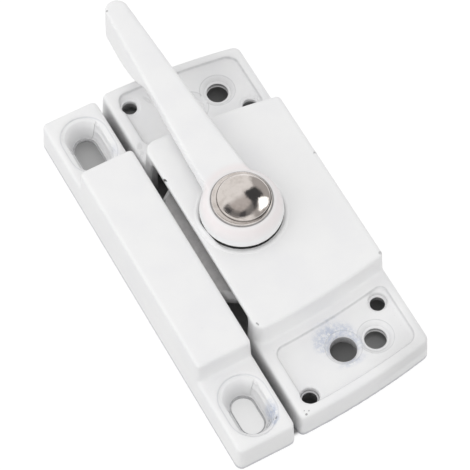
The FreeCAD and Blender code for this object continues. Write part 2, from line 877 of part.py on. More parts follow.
def make_spring_washer():
    """The coned spring washer that takes up the play between index plate and boss."""
    body = new_body("spring_washer")
    profile = new_sketch(body, "spring_washer_profile", "XZ_Plane")
    low, thickness = index_top(), size("spring_washer_thickness")
    top = boss_face() - size("running_clearance")
    inner, outer = size("hub_washer_hole"), size("spring_washer_radius")
    draw_outline(profile, [(inner, top - thickness), (outer, low), (outer, low + thickness), (inner, top)])
    revolve(body, profile)
    return body


def make_index_plate():
    """The plate with two flats, on which the detent spring rests in each end position."""
    body = new_body("index_plate")
    radius, flat = size("index_plate_radius"), size("index_plate_flat")
    edge = (radius * radius - flat * flat).root()
    plate = new_sketch(body, "index_plate_plan", level=index_top())
    draw_outline(plate, [(flat, edge), (-flat, edge), (-flat, -edge), (flat, -edge)],
                 {0: Bend(radius), 2: Bend(radius)})
    half = size("rivet_lower_square") / 2 + size("key_clearance")
    draw_outline(plate, box_outline(half, half))
    pad(body, plate, size("index_plate_thickness"), downward=True)
    return body


def make_cam():
    """The locking cam: a sector with a bevelled rim whose two sides meet the stop pin."""
    body = new_body("locking_cam")
    rim, hub = size("cam_radius"), size("cam_hub_radius")
    sine = (size("stop_pin_radius") + size("stop_gap")) / size("stop_distance")
    cosine = (1 - sine * sine).root()
    plan = new_sketch(body, "cam_plan", level=cam_top())
    draw_outline(plan, [(-rim * sine, rim * cosine), (-rim * sine, -rim * cosine),
                        (-hub * sine, -hub * cosine), (-hub * sine, hub * cosine)],
                 {0: Bend(rim), 2: Bend(hub, long_way=True)})
    half = size("rivet_lower_square") / 2 + size("key_clearance")
    draw_outline(plan, box_outline(half, half))
    pad(body, plan, size("cam_thickness"), downward=True)
    top = cam_top().number
    dress(body, "Chamfer", "cam_lead", size("cam_lead_in"),
          lambda edge: is_level(edge, top) and is_round(edge, DIMENSIONS["cam_radius"]))
    return body


def make_stop_pin():
    """The pin in the box's ceiling that stops the cam in both end positions."""
    body = new_body("stop_pin")
    top = ceiling() + size("stop_pin_depth")
    pin = new_sketch(body, "stop_pin_plan", level=top)
    draw_circle(pin, (0, -size("stop_distance")), size("stop_pin_radius"))
    pad(body, pin, top - cam_bottom() + size("stop_pin_below"), downward=True)
    return body


def make_detent_spring():
    """The leaf spring whose bowed blade clicks onto the index plate, drawn lifted off it."""
    body = new_body("detent_spring")
    thick, bow, half = size("detent_thickness"), size("detent_bow"), size("detent_half_length")
    root = blade_root()
    inner = (half * half + bow * bow) / (bow * 2)
    low = cam_top() + size("detent_over_cam")
    blade = new_sketch(body, "blade", level=low)
    corners = [(root, half), (root, -half), (root + thick, -half), (root + thick, half)]
    draw_outline(blade, corners, {0: Bend(inner), 2: Bend(inner, centre_left=False)})
    pad(body, blade, boss_face() - low - size("detent_under_boss"))

    length = size("detent_foot_length")
    for sign, name in ((-1, "low"), (1, "high")):
        y = (half + length / 2) * sign
        web = new_sketch(body, f"web_{name}", level=low)
        draw_outline(web, box_outline(thick / 2, length / 2, (root + thick / 2, y)))
        pad(body, web, ceiling() - low)
        foot = new_sketch(body, f"foot_{name}", level=ceiling() - thick)
        width = size("detent_foot_width") / 2
        draw_outline(foot, box_outline(width, length / 2, (root + width, y)))
        draw_circle(foot, (spring_foot()[0], y), size("spring_rivet_radius"))
        pad(body, foot, thick)
    return body


def make_spring_rivets():
    """The two rivets that hold the detent spring to the ceiling."""
    body = new_body("spring_rivets")
    body.AllowCompound = True
    x, y = spring_foot()
    foot = ceiling() - size("detent_thickness")
    top = ceiling() + size("spring_rivet_depth")
    shanks = new_sketch(body, "spring_rivet_shanks", level=top)
    heads = new_sketch(body, "spring_rivet_heads", level=foot)
    for place in ((x, y), (x, -y)):
        draw_circle(shanks, place, size("spring_rivet_radius"))
        draw_circle(heads, place, size("spring_rivet_head"))
    pad(body, shanks, top - foot, downward=True)
    pad(body, heads, size("spring_rivet_head_height"), downward=True)
    return body


def check_document():
    """Stops if any object of the document failed."""
    document.recompute()
    for item in document.Objects:
        if {"Invalid", "Error"} & set(item.State):
            raise ValueError(f"{item.Name} is {item.State}")


def export(pieces):
    """Checks each piece and writes it to its own file."""
    check_document()
    os.makedirs("parts", exist_ok=True)
    for piece in pieces:
        shape = piece.Shape
        if shape.isNull() or not shape.isValid() or not shape.Solids:
            raise ValueError(f"{piece.Label} is not a valid solid")
        shape.exportStep(os.path.join("parts", f"{piece.Label}.step"))
        print(f"{piece.Label}: {len(shape.Solids)} solid, {shape.Volume:.1f} mm3, {shape.BoundBox}")


fill_sheet()
export([make() for make in (make_housing, make_keeper, make_lever, make_rivet, make_hub_washer, make_bush,
                            make_backing_washer, make_spring_washer, make_index_plate, make_cam,
                            make_stop_pin, make_detent_spring, make_spring_rivets)])
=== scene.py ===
"""Looks of a sliding window lock: white enamelled housing, keeper and lever, and a bright domed rivet.

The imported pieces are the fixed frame. This script gives the castings the soft edges of a die and its
paint, dresses every piece, and sets up the studio. Lengths are in millimetres unless a comment says
metres, and the frame's own meshes are in metres.
"""
from __future__ import annotations

import logging
import math
from dataclasses import dataclass, field
from enum import Enum
from typing import Sequence, Union

import bpy
import numpy as np
import openvdb
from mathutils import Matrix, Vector


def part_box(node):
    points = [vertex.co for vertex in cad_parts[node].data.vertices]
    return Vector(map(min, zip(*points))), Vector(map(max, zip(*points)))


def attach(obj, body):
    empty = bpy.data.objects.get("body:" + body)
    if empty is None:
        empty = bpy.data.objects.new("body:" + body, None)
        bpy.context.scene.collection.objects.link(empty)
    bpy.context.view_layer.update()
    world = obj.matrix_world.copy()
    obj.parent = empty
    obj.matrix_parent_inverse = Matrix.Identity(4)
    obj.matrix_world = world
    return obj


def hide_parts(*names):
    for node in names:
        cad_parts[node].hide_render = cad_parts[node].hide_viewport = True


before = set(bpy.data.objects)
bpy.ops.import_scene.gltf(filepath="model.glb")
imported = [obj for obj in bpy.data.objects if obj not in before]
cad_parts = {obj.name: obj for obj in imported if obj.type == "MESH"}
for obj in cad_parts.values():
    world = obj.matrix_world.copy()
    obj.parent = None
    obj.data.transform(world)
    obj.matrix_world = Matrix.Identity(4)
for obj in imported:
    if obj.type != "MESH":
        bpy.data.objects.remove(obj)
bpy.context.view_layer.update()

log = logging.getLogger("lock")

MM = 0.001
FULL_TURN = 360.0
IMAGE_SIZE = 470
SENSOR_WIDTH = 36.0
WELD_REACH = 1e-6  # metres
BAND_FADE = 0.1
EDGE_STEPS = 2
EDGE_ANGLE = 40.0  # facets that meet at more than this are an edge
SKIN_CREASE = 80.0  # a rounded casting is smooth up to this angle between its facets

Point = tuple[float, float, float]
Place = tuple[float, float]
Colour = tuple[float, float, float]
Axes = tuple["Signal", "Signal", "Signal"]
Input = Union["Signal", float, Sequence[float]]


class Body(Enum):
    """The two bodies of the lock."""

    BASE = "base"
    LEVER = "lever"


def linear(grey: float) -> float:
    """The linear value of one display channel given from 0 to 255."""
    share = grey / 255
    return share / 12.92 if share <= 0.04045 else ((share + 0.055) / 1.055) ** 2.4


def display(red: float, green: float, blue: float) -> Colour:
    """A linear colour from display channels given from 0 to 255."""
    return linear(red), linear(green), linear(blue)


class Signal:
    """A shader socket that Python's arithmetic can be used on: each operation adds its Math node."""

    def __init__(self, recipe: "Recipe", socket: bpy.types.NodeSocket) -> None:
        """Wraps a socket of the recipe's node tree."""
        self.recipe = recipe
        self.socket = socket

    def _maths(self, operation: str, *values: Input) -> "Signal":
        """One Math node on the given values."""
        return self.recipe.node("ShaderNodeMath", {"operation": operation}, dict(enumerate(values)))

    def __add__(self, other: Input) -> "Signal":
        """Sum."""
        return self._maths("ADD", self, other)

    __radd__ = __add__

    def __sub__(self, other: Input) -> "Signal":
        """Difference."""
        return self._maths("SUBTRACT", self, other)

    def __rsub__(self, other: Input) -> "Signal":
        """Reflected difference, so that 1 - mask works."""
        return self._maths("SUBTRACT", other, self)

    def __mul__(self, other: Input) -> "Signal":
        """Product."""
        return self._maths("MULTIPLY", self, other)

    __rmul__ = __mul__

    def __truediv__(self, other: Input) -> "Signal":
        """Quotient."""
        return self._maths("DIVIDE", self, other)

    def size(self) -> "Signal":
        """Absolute value."""
        return self._maths("ABSOLUTE", self)

    def root(self) -> "Signal":
        """Square root."""
        return self._maths("SQRT", self)

    def larger(self, other: Input) -> "Signal":
        """The larger of two values."""
        return self._maths("MAXIMUM", self, other)

    def smaller(self, other: Input) -> "Signal":
        """The smaller of two values."""
        return self._maths("MINIMUM", self, other)

    def rise(self, start: float, stop: float) -> "Signal":
        """A smooth step.

        Args:
            start: value at which the result is 0.
            stop: value at which the result is 1. It may be the lower of the two.

        Returns:
            A signal from 0 to 1.
        """
        settings = {"interpolation_type": "SMOOTHSTEP"}
        low, high = min(start, stop), max(start, stop)
        step = self.recipe.node("ShaderNodeMapRange", settings, {0: self, 1: low, 2: high, 3: 0.0, 4: 1.0})
        return step if start < stop else 1 - step

    def ring(self, radius: float, width: float) -> "Signal":
        """1 where the signal equals radius, fading to 0 at width on either side."""
        return (self - radius).size().rise(width, 0)

    def between(self, low: float, high: float) -> "Signal":
        """1 from low to high, with a short fade outside them."""
        return self.rise(low - BAND_FADE, low) * self.rise(high + BAND_FADE, high)


@dataclass(frozen=True)
class Grain:
    """One noise: its waves to the unit of length, its levels of detail and the share of the finer ones."""

    scale: float
    detail: float = 3.0
    roughness: float = 0.5


class Recipe:
    """One node tree, of a material or of the world, built through a single node-making method."""

    def __init__(self, owner: bpy.types.Material | bpy.types.World) -> None:
        """Empties the owner's node tree and gives it an output.

        Args:
            owner: the material or world whose tree it is.
        """
        self.owner = owner
        owner.use_nodes = True
        self.tree = owner.node_tree
        self.tree.nodes.clear()
        kind = "World" if isinstance(owner, bpy.types.World) else "Material"
        self.output = self.tree.nodes.new(f"ShaderNodeOutput{kind}")

    @classmethod
    def of_material(cls, name: str) -> "Recipe":
        """The recipe of a new material."""
        return cls(bpy.data.materials.new(name))

    def node(self, kind: str, settings: dict | None = None, inputs: dict | None = None,
             output: int | str = 0) -> Signal:
        """Adds a node.

        Args:
            kind: the node's type name.
            settings: properties, set before the sockets.
            inputs: sockets by number or name, with values or signals.
            output: the socket that is returned.

        Returns:
            The chosen output as a signal.
        """
        made = self.tree.nodes.new(kind)
        for name, value in (settings or {}).items():
            setattr(made, name, value)
        for name, value in (inputs or {}).items():
            socket = made.inputs[name]
            if isinstance(value, Signal):
                self.tree.links.new(value.socket, socket)
            elif socket.type == "RGBA" and len(value) == 3:
                socket.default_value = (*value, 1)
            else:
                socket.default_value = value
        return Signal(self, made.outputs[output])

    def place(self) -> Signal:
        """Position on the object in the lock's frame, in millimetres."""
        return self.stretched(self.node("ShaderNodeTexCoord", output="Object"), (1 / MM,) * 3)

    def stretched(self, where: Signal, scale: Point) -> Signal:
        """A position scaled by a different factor along each axis."""
        return self.node("ShaderNodeVectorMath", {"operation": "MULTIPLY"}, {0: where, 1: scale})

    def axes(self, vector: Signal) -> Axes:
        """The three parts of a vector."""
        split = self.node("ShaderNodeSeparateXYZ", None, {0: vector}).socket.node
        return tuple(Signal(self, part) for part in split.outputs)

    def joined(self, across: Input, along: Input, height: Input) -> Signal:
        """A vector from its three parts."""
        return self.node("ShaderNodeCombineXYZ", None, {0: across, 1: along, 2: height})

    def noise(self, where: Signal, grain: Grain) -> Signal:
        """Cloudy noise from 0 to 1."""
        inputs = {"Vector": where, "Scale": grain.scale, "Detail": grain.detail, "Roughness": grain.roughness}
        return self.node("ShaderNodeTexNoise", None, inputs)

    def blend(self, share: Input, first: Input, second: Input) -> Signal:
        """Mixes two colours by share."""
        return self.node("ShaderNodeMix", {"data_type": "RGBA"}, {0: share, 6: first, 7: second}, output=2)

    def bump(self, height: Signal, depth: float, strength: float = 1.0) -> Signal:
        """A normal from a height signal that spans a depth."""
        return self.node("ShaderNodeBump", None, {"Height": height, "Distance": depth * MM, "Strength": strength})

    def diffuse(self, grey: float) -> Signal:
        """A matt grey shader."""
        return self.node("ShaderNodeBsdfDiffuse", None, {"Color": (grey,) * 3})

    def backdrop(self, colour: Input, strength: float = 1.0) -> Signal:
        """A world's background of one strength."""
        return self.node("ShaderNodeBackground", None, {"Color": colour, "Strength": strength})

    def cover(self, share: Input, under: Signal, over: Signal) -> Signal:
        """Lays one shader over another by share."""
        return self.node("ShaderNodeMixShader", None, {0: share, 1: under, 2: over})

    def ray(self, kind: str) -> Signal:
        """1 for one kind of ray."""
        return self.node("ShaderNodeLightPath", output=f"Is {kind} Ray")

    def finish(self, shader: Signal) -> bpy.types.Material | bpy.types.World:
        """Wires a shader to the output and returns the owner of the tree."""
        self.tree.links.new(shader.socket, self.output.inputs["Surface"])
        return self.owner

    def surface(self, **sockets: Input) -> bpy.types.Material:
        """The material with a principled surface."""
        names = {name.replace("_", " ").title().replace("Ior", "IOR"): value for name, value in sockets.items()}
        return self.finish(self.node("ShaderNodeBsdfPrincipled", None, names))


def distance(axes: Axes, place: Place) -> Signal:
    """Distance in the mounting plane from an upright line."""
    across, along = axes[0] - place[0], axes[1] - place[1]
    return (across * across + along * along).root()


def nearness(axes: Axes, point: Point) -> Signal:
    """How near a direction comes to a point given as a direction: 1 at the point itself."""
    return axes[0] * point[0] + axes[1] * point[1] + axes[2] * point[2]


@dataclass(frozen=True)
class Mark:
    """A mark on a casting: its middle, its half sizes in the mounting plane and its turn in degrees.

    Its strength is its share of the surface's colour, and reach says how far above and below its middle
    it goes.
    """

    middle: Point
    half: Place
    turn: float = 0.0
    strength: float = 0.7
    reach: float = 1.2

    def mask(self, axes: Axes, softness: float) -> Signal:
        """A soft oval, held to a height band round the mark.

        Args:
            axes: the position on the casting.
            softness: share of the oval over which it fades.

        Returns:
            A signal from 0 to 1.
        """
        cosine, sine = math.cos(math.radians(self.turn)), math.sin(math.radians(self.turn))
        across, along = axes[0] - self.middle[0], axes[1] - self.middle[1]
        first = (across * cosine + along * sine) / self.half[0]
        second = (along * cosine - across * sine) / self.half[1]
        oval = (first * first + second * second).root().rise(1.0, 1.0 - softness)
        return oval * (axes[2] - self.middle[2]).size().rise(self.reach, self.reach * 0.6)


@dataclass(frozen=True)
class Halo:
    """A ring of colour round an upright axis, within a height band."""

    place: Place
    radius: float
    width: float
    heights: Place
    colour: Colour
    strength: float = 0.6

    def mask(self, axes: Axes) -> Signal:
        """1 on the ring, fading to 0 beside it."""
        return distance(axes, self.place).ring(self.radius, self.width) * axes[2].between(*self.heights)


@dataclass(frozen=True)
class Outline:
    """The edge of a sunk form with round corners, mirrored about a line across the casting, drawn as a painted
    shade line along its crease.

    The ends follow the casting's own curve: a point's distance from the mirror line grows with the
    square of its distance from curve_from, divided by curve.
    """

    middle: Place
    half: Place
    corner: float
    heights: Place
    mirror: float
    curve: float = math.inf
    curve_from: float = 0.0
    width: float = 0.2
    colour: Colour = display(150, 150, 153)
    strength: float = 0.5

    def mask(self, axes: Axes) -> Signal:
        """The outline itself.

        Args:
            axes: the position on the casting.

        Returns:
            1 on the outline, fading to 0 beside it.
        """
        run = axes[0] - self.curve_from
        along = (axes[1] - self.mirror).size() + run * run / self.curve
        out = (axes[0] - self.middle[0]).size() - (self.half[0] - self.corner)
        over = (along - self.middle[1]).size() - (self.half[1] - self.corner)
        beyond, above = out.larger(0.0), over.larger(0.0)
        away = (beyond * beyond + above * above).root() + out.larger(over).smaller(0.0)
        return away.ring(self.corner, self.width) * axes[2].between(*self.heights)


@dataclass(frozen=True)
class Enamel:
    """White satin enamel on a casting, with the marks that one piece has picked up and its painted shade: darker
    towards the floor, in holes, along creases, in gaps and at the rivet's contact.

    A pair of thresholds gives the values of a noise or a height between which a layer comes in.
    """

    name: str
    stains: tuple[Mark, ...] = ()
    flecks: tuple[Mark, ...] = ()
    halos: tuple[Halo, ...] = ()
    outlines: tuple[Outline, ...] = ()
    painted_shade_patches: tuple[Mark, ...] = ()
    paint: Colour = display(241, 241, 241)
    shade: Colour = display(238, 238, 239)
    soot_and_shade: Colour = display(70, 70, 72)
    tint: Colour = display(192, 199, 215)
    # foot is painted shade: the enamel grows darker towards the floor
    foot: Colour = display(168, 170, 178)
    # film is the colour of the painted shade patches
    film: Colour = display(190, 190, 191)
    pit: Colour = display(205, 206, 210)
    roughness: float = 0.4
    clouds: Grain = Grain(0.12, 3.0, 0.55)
    grain: Grain = Grain(1.1, 4.0, 0.6)
    peel: Grain = Grain(2.4, 3.0, 0.55)
    patches: Grain = Grain(1.2, 5.0, 0.8)
    pits: Grain = Grain(1.7, 2.0)
    shade_range: Place = (0.35, 0.7)
    foot_shade_heights: Place = (1.5, 0.4)
    patch_range: Place = (0.34, 0.62)
    chip_range: Place = (0.36, 0.5)
    pit_range: Place = (0.74, 0.8)
    painted_shade_fade: float = 0.95
    stain_fade: float = 0.8
    fleck_fade: float = 0.5
    pit_share: float = 0.25
    peel_depth: float = 0.02
    peel_strength: float = 0.45

    def build(self) -> bpy.types.Material:
        """Lays the paint, the dirt, the marks and the painted shade over each other.

        Returns:
            The enamel of one casting.
        """
        recipe = Recipe.of_material(self.name)
        where = recipe.place()
        axes = recipe.axes(where)
        grain = recipe.noise(where, self.grain)
        colour = recipe.blend(recipe.noise(where, self.clouds).rise(*self.shade_range), self.paint, self.shade)
        # painted shade: darker towards the floor
        colour = recipe.blend(axes[2].rise(*self.foot_shade_heights) * (grain + 0.2), colour, self.foot)
        patches = recipe.noise(where, self.patches).rise(*self.patch_range)
        chips = grain.rise(*self.chip_range)
        pits = recipe.noise(where, self.pits).rise(*self.pit_range)
        # painted shade patches
        layers = [(film.mask(axes, self.painted_shade_fade) * film.strength, self.film) for film in self.painted_shade_patches]
        layers += [(stain.mask(axes, self.stain_fade) * patches * stain.strength, self.tint)
                   for stain in self.stains]
        # halos are painted shade down holes, at seat edges and at the rivet's contact, or a faint warm tint;
        # outlines are painted shade along creases
        layers += [(halo.mask(axes) * (grain * 0.6 + 0.5) * halo.strength, halo.colour) for halo in self.halos]
        layers += [(line.mask(axes) * (grain + 0.3) * line.strength, line.colour) for line in self.outlines]
        layers += [(fleck.mask(axes, self.fleck_fade) * chips * fleck.strength, self.soot_and_shade)
                   for fleck in self.flecks]
        for share, tone in (*layers, (pits * self.pit_share, self.pit)):
            colour = recipe.blend(share, colour, tone)
        rough = self.roughness + (grain - 0.5) * 0.12 + pits * 0.2
        peel = recipe.noise(where, self.peel)
        normal = recipe.bump(peel * 0.7 + grain * 0.3 - pits * 0.4, self.peel_depth, self.peel_strength)
        return recipe.surface(base_color=colour, roughness=rough, normal=normal, ior=1.5)


@dataclass(frozen=True)
class TurnedMetal:
    """Metal with fine rings left by turning or polishing round an upright axis.

    A dark reflection ring is a painted dark reflection round the axis, given by its radius and its half width.
    """

    name: str
    colour: Colour
    tarnish: Colour
    roughness: float
    middle: Place = (0.0, 0.0)
    rings: float = 9.0
    depth: float = 0.004
    scuff: float = 0.12
    dark_reflection_rings: tuple[Place, ...] = ()
    dark_reflection_colour: Colour = display(66, 62, 60)
    ripple: Grain = Grain(0.9, 4.0, 0.6)
    specks: Grain = Grain(3.2, 3.0, 0.6)
    film: Grain = Grain(0.5, 4.0, 0.65)
    speck_range: Place = (0.62, 0.75)
    film_range: Place = (0.42, 0.72)
    smoothest: float = 0.03

    def build(self) -> bpy.types.Material:
        """Lays tarnish, specks and painted dark reflection rings over the metal.

        Returns:
            The metal of one turned piece.
        """
        recipe = Recipe.of_material(self.name)
        where = recipe.place()
        axes = recipe.axes(where)
        away = distance(axes, self.middle)
        turned = recipe.noise(recipe.joined(away, axes[2], 0.0), Grain(self.rings, 4.0, 0.7))
        ripple = recipe.noise(where, self.ripple)
        specks = recipe.noise(where, self.specks)
        film = recipe.noise(where, self.film).rise(*self.film_range)
        colour = recipe.blend(film * 0.55, self.colour, self.tarnish)
        colour = recipe.blend(specks.rise(*self.speck_range) * 0.35, colour, self.tarnish)
        # painted dark reflection rings
        for radius, width in self.dark_reflection_rings:
            colour = recipe.blend(away.ring(radius, width) * (ripple + 0.35), colour, self.dark_reflection_colour)
        rough = (self.roughness + (turned - 0.5) * self.scuff + film * 0.05).larger(self.smoothest)
        normal = recipe.bump(turned * 0.35 + ripple + specks * 0.25, self.depth, 0.8)
        return recipe.surface(base_color=colour, roughness=rough, normal=normal, metallic=1.0)


@dataclass(frozen=True)
class BlankedSteel:
    """Plated sheet steel: grain along the rolling, tumbled edges, a dull film and painted highlights."""

    name: str
    colour: Colour
    film: Colour
    roughness: float = 0.4
    metallic: float = 0.75
    rolling: Point = (2.2, 0.25, 2.2)
    edge: Colour = display(232, 232, 232)
    # band is the colour of the painted highlights
    band: Colour = display(252, 252, 252)
    pit: Colour = display(70, 68, 66)
    painted_highlights: tuple[Mark, ...] = ()
    grain: Grain = Grain(2.2, 5.0, 0.65)
    dull: Grain = Grain(0.8, 4.0, 0.6)
    pits: Grain = Grain(4.5, 2.0)
    dull_range: Place = (0.35, 0.7)
    pit_range: Place = (0.66, 0.76)
    highlight_fade: float = 0.4
    depth: float = 0.012

    def build(self) -> bpy.types.Material:
        """Lays the film, the painted highlights and the pits over the steel.

        Returns:
            The steel of one blanked piece.
        """
        recipe = Recipe.of_material(self.name)
        where = recipe.place()
        axes = recipe.axes(where)
        grain = recipe.noise(recipe.stretched(where, self.rolling), self.grain)
        dull = recipe.noise(where, self.dull).rise(*self.dull_range)
        pits = recipe.noise(where, self.pits).rise(*self.pit_range)
        colour = recipe.blend(dull * 0.5, self.colour, self.film)
        colour = recipe.blend((grain - 0.4).larger(0.0) * 0.5, colour, self.edge)
        rough = self.roughness + (grain - 0.5) * 0.2 + dull * 0.1
        metal = dull * 0.1 + (self.metallic - 0.05)
        # painted highlights: white and less metallic under each
        for band in self.painted_highlights:
            mask = band.mask(axes, self.highlight_fade) * band.strength
            colour = recipe.blend(mask, colour, self.band)
            metal = metal * (1 - mask)
        colour = recipe.blend(pits * 0.4, colour, self.pit)
        normal = recipe.bump(grain - pits * 0.5, self.depth, 0.5)
        return recipe.surface(base_color=colour, roughness=rough, normal=normal, metallic=metal)


@dataclass(frozen=True)
class TemperedSteel:
    """Dark hardened spring steel with the straw and blue of tempering."""

    name: str
    colour: Colour = display(104, 106, 116)
    straw: Colour = display(142, 122, 96)
    roughness: float = 0.3
    heat: Grain = Grain(0.4)
    heat_range: Place = (0.4, 0.65)
    lines: Grain = Grain(1.5, 4.0, 0.6)
    rolling: Point = (6.0, 0.6, 6.0)
    depth: float = 0.008

    def build(self) -> bpy.types.Material:
        """Lays the straw colour of tempering over the steel.

        Returns:
            The steel of one spring.
        """
        recipe = Recipe.of_material(self.name)
        where = recipe.place()
        heat = recipe.noise(where, self.heat).rise(*self.heat_range)
        lines = recipe.noise(recipe.stretched(where, self.rolling), self.lines)
        colour = recipe.blend(heat * 0.6, self.colour, self.straw)
        rough = self.roughness + (lines - 0.5) * 0.2
        return recipe.surface(base_color=colour, roughness=rough, metallic=1.0,
                              normal=recipe.bump(lines, self.depth, 0.5))


@dataclass(frozen=True)
class BlackFibre:
    """Black pressed fibre, dull, with fine strands and a little dust."""

    name: str
    colour: Colour = display(16, 16, 17)
    dust: Colour = display(84, 82, 80)
    roughness: float = 0.72
    strands: Grain = Grain(3.0, 5.0, 0.7)
    settled: Grain = Grain(0.8)
    settled_range: Place = (0.58, 0.8)
    pressing: Point = (1.0, 1.0, 5.0)
    depth: float = 0.03

    def build(self) -> bpy.types.Material:
        """Lays dust over the fibre.

        Returns:
            The fibre of the washer.
        """
        recipe = Recipe.of_material(self.name)
        where = recipe.place()
        strands = recipe.noise(recipe.stretched(where, self.pressing), self.strands)
        dust = recipe.noise(where, self.settled).rise(*self.settled_range) * 0.3
        return recipe.surface(base_color=recipe.blend(dust, self.colour, self.dust),
                              roughness=self.roughness + (strands - 0.5) * 0.3,
                              normal=recipe.bump(strands, self.depth, 0.6))


def section(profile: Sequence[Place], middle: Place, angle: float) -> list[Point]:
    """A profile of radius and height, set up at an angle in degrees round an upright axis."""
    across, along = math.cos(math.radians(angle)), math.sin(math.radians(angle))
    return [(middle[0] + radius * across, middle[1] + radius * along, height) for radius, height in profile]


@dataclass
class Facets:
    """Points and faces of a piece, gathered from closed parts."""

    points: list[Point] = field(default_factory=list)
    faces: list[Sequence[int]] = field(default_factory=list)

    def add(self, points: Sequence[Point], faces: Sequence[Sequence[int]]) -> None:
        """Adds a closed part.

        Args:
            points: its points.
            faces: its faces, as numbers of those points.
        """
        first = len(self.points)
        self.points.extend(points)
        self.faces.extend([corner + first for corner in face] for face in faces)

    def loft(self, rows: Sequence[Sequence[Point]], whole: bool) -> None:
        """Adds a part through rows of points.

        Args:
            rows: loops with the same number of points each.
            whole: whether the last row is joined to the first. The ends are closed otherwise.
        """
        size, count = len(rows[0]), len(rows) if whole else len(rows) - 1
        faces = [(row * size + k, (row + 1) % len(rows) * size + k,
                  (row + 1) % len(rows) * size + (k + 1) % size, row * size + (k + 1) % size)
                 for row in range(count) for k in range(size)]
        if not whole:
            faces += [tuple(range(size)), tuple(count * size + k for k in reversed(range(size)))]
        self.add([point for row in rows for point in row], faces)

    def turn(self, profile: Sequence[Place], middle: Place = (0.0, 0.0), steps: int = 128,
             start: float = 0.0, stop: float = FULL_TURN) -> None:
        """Adds a part turned round an upright axis.

        Args:
            profile: radius and height of a closed loop, anticlockwise, with no point on the axis.
            middle: where the axis stands.
            steps: number of faces in a full turn.
            start: angle in degrees at which the part begins.
            stop: angle at which it ends. A part of less than a full turn is closed by its ends.
        """
        whole = stop - start >= FULL_TURN
        count = steps if whole else max(2, round(steps * (stop - start) / FULL_TURN))
        self.loft([section(profile, middle, start + (stop - start) * row / count)
                   for row in range(count if whole else count + 1)], whole)

    def spin(self, rings: Sequence[Point], shift: Place = (0.0, 0.0), steps: int = 72) -> None:
        """Adds a solid of round sections, from the top to the bottom.

        Args:
            rings: radius, height and share of the shift of each section. The first and last radius
                are 0 and give one point each.
            shift: how far the sections with share 1 stand off the pivot axis.
            steps: number of faces round.
        """
        points, faces = [], []
        for radius, height, share in rings[1:-1]:
            points += [(radius * math.cos(math.tau * k / steps) + shift[0] * share,
                        radius * math.sin(math.tau * k / steps) + shift[1] * share, height)
                       for k in range(steps)]
        rows = len(rings) - 2
        for row in range(rows - 1):
            faces += [(row * steps + k, (row + 1) * steps + k,
                       (row + 1) * steps + (k + 1) % steps, row * steps + (k + 1) % steps)
                      for k in range(steps)]
        for (_, height, share), row, ahead in ((rings[0], 0, 1), (rings[-1], rows - 1, 0)):
            pole = len(points)
            points.append((shift[0] * share, shift[1] * share, height))
            faces += [(pole, row * steps + (k + 1 - ahead) % steps, row * steps + (k + ahead) % steps)
                      for k in range(steps)]
        self.add(points, faces)

    def bar(self, half: float, corner: float, low: float, high: float) -> None:
        """Adds an upright square bar on the pivot axis.

        Args:
            half: half the bar's width.
            corner: how much of each side its corners cut off.
            low: height of its lower end.
            high: height of its upper end.
        """
        flat = half - corner
        outline = [(flat, -half), (half, -flat), (half, flat), (flat, half),
                   (-flat, half), (-half, flat), (-half, -flat), (-flat, -half)]
        self.loft([[(*corner, height) for corner in outline] for height in (high, low)], whole=False)

    def make(self, name: str) -> bpy.types.Object:
        """The object, in the scene.

        Args:
            name: name of the new object and its mesh.

        Returns:
            An object without a material.
        """
        mesh = bpy.data.meshes.new(name)
        mesh.from_pydata([(x * MM, y * MM, z * MM) for x, y, z in self.points], [], self.faces)
        mesh.update()
        piece = bpy.data.objects.new(name, mesh)
        bpy.context.scene.collection.objects.link(piece)
        return piece


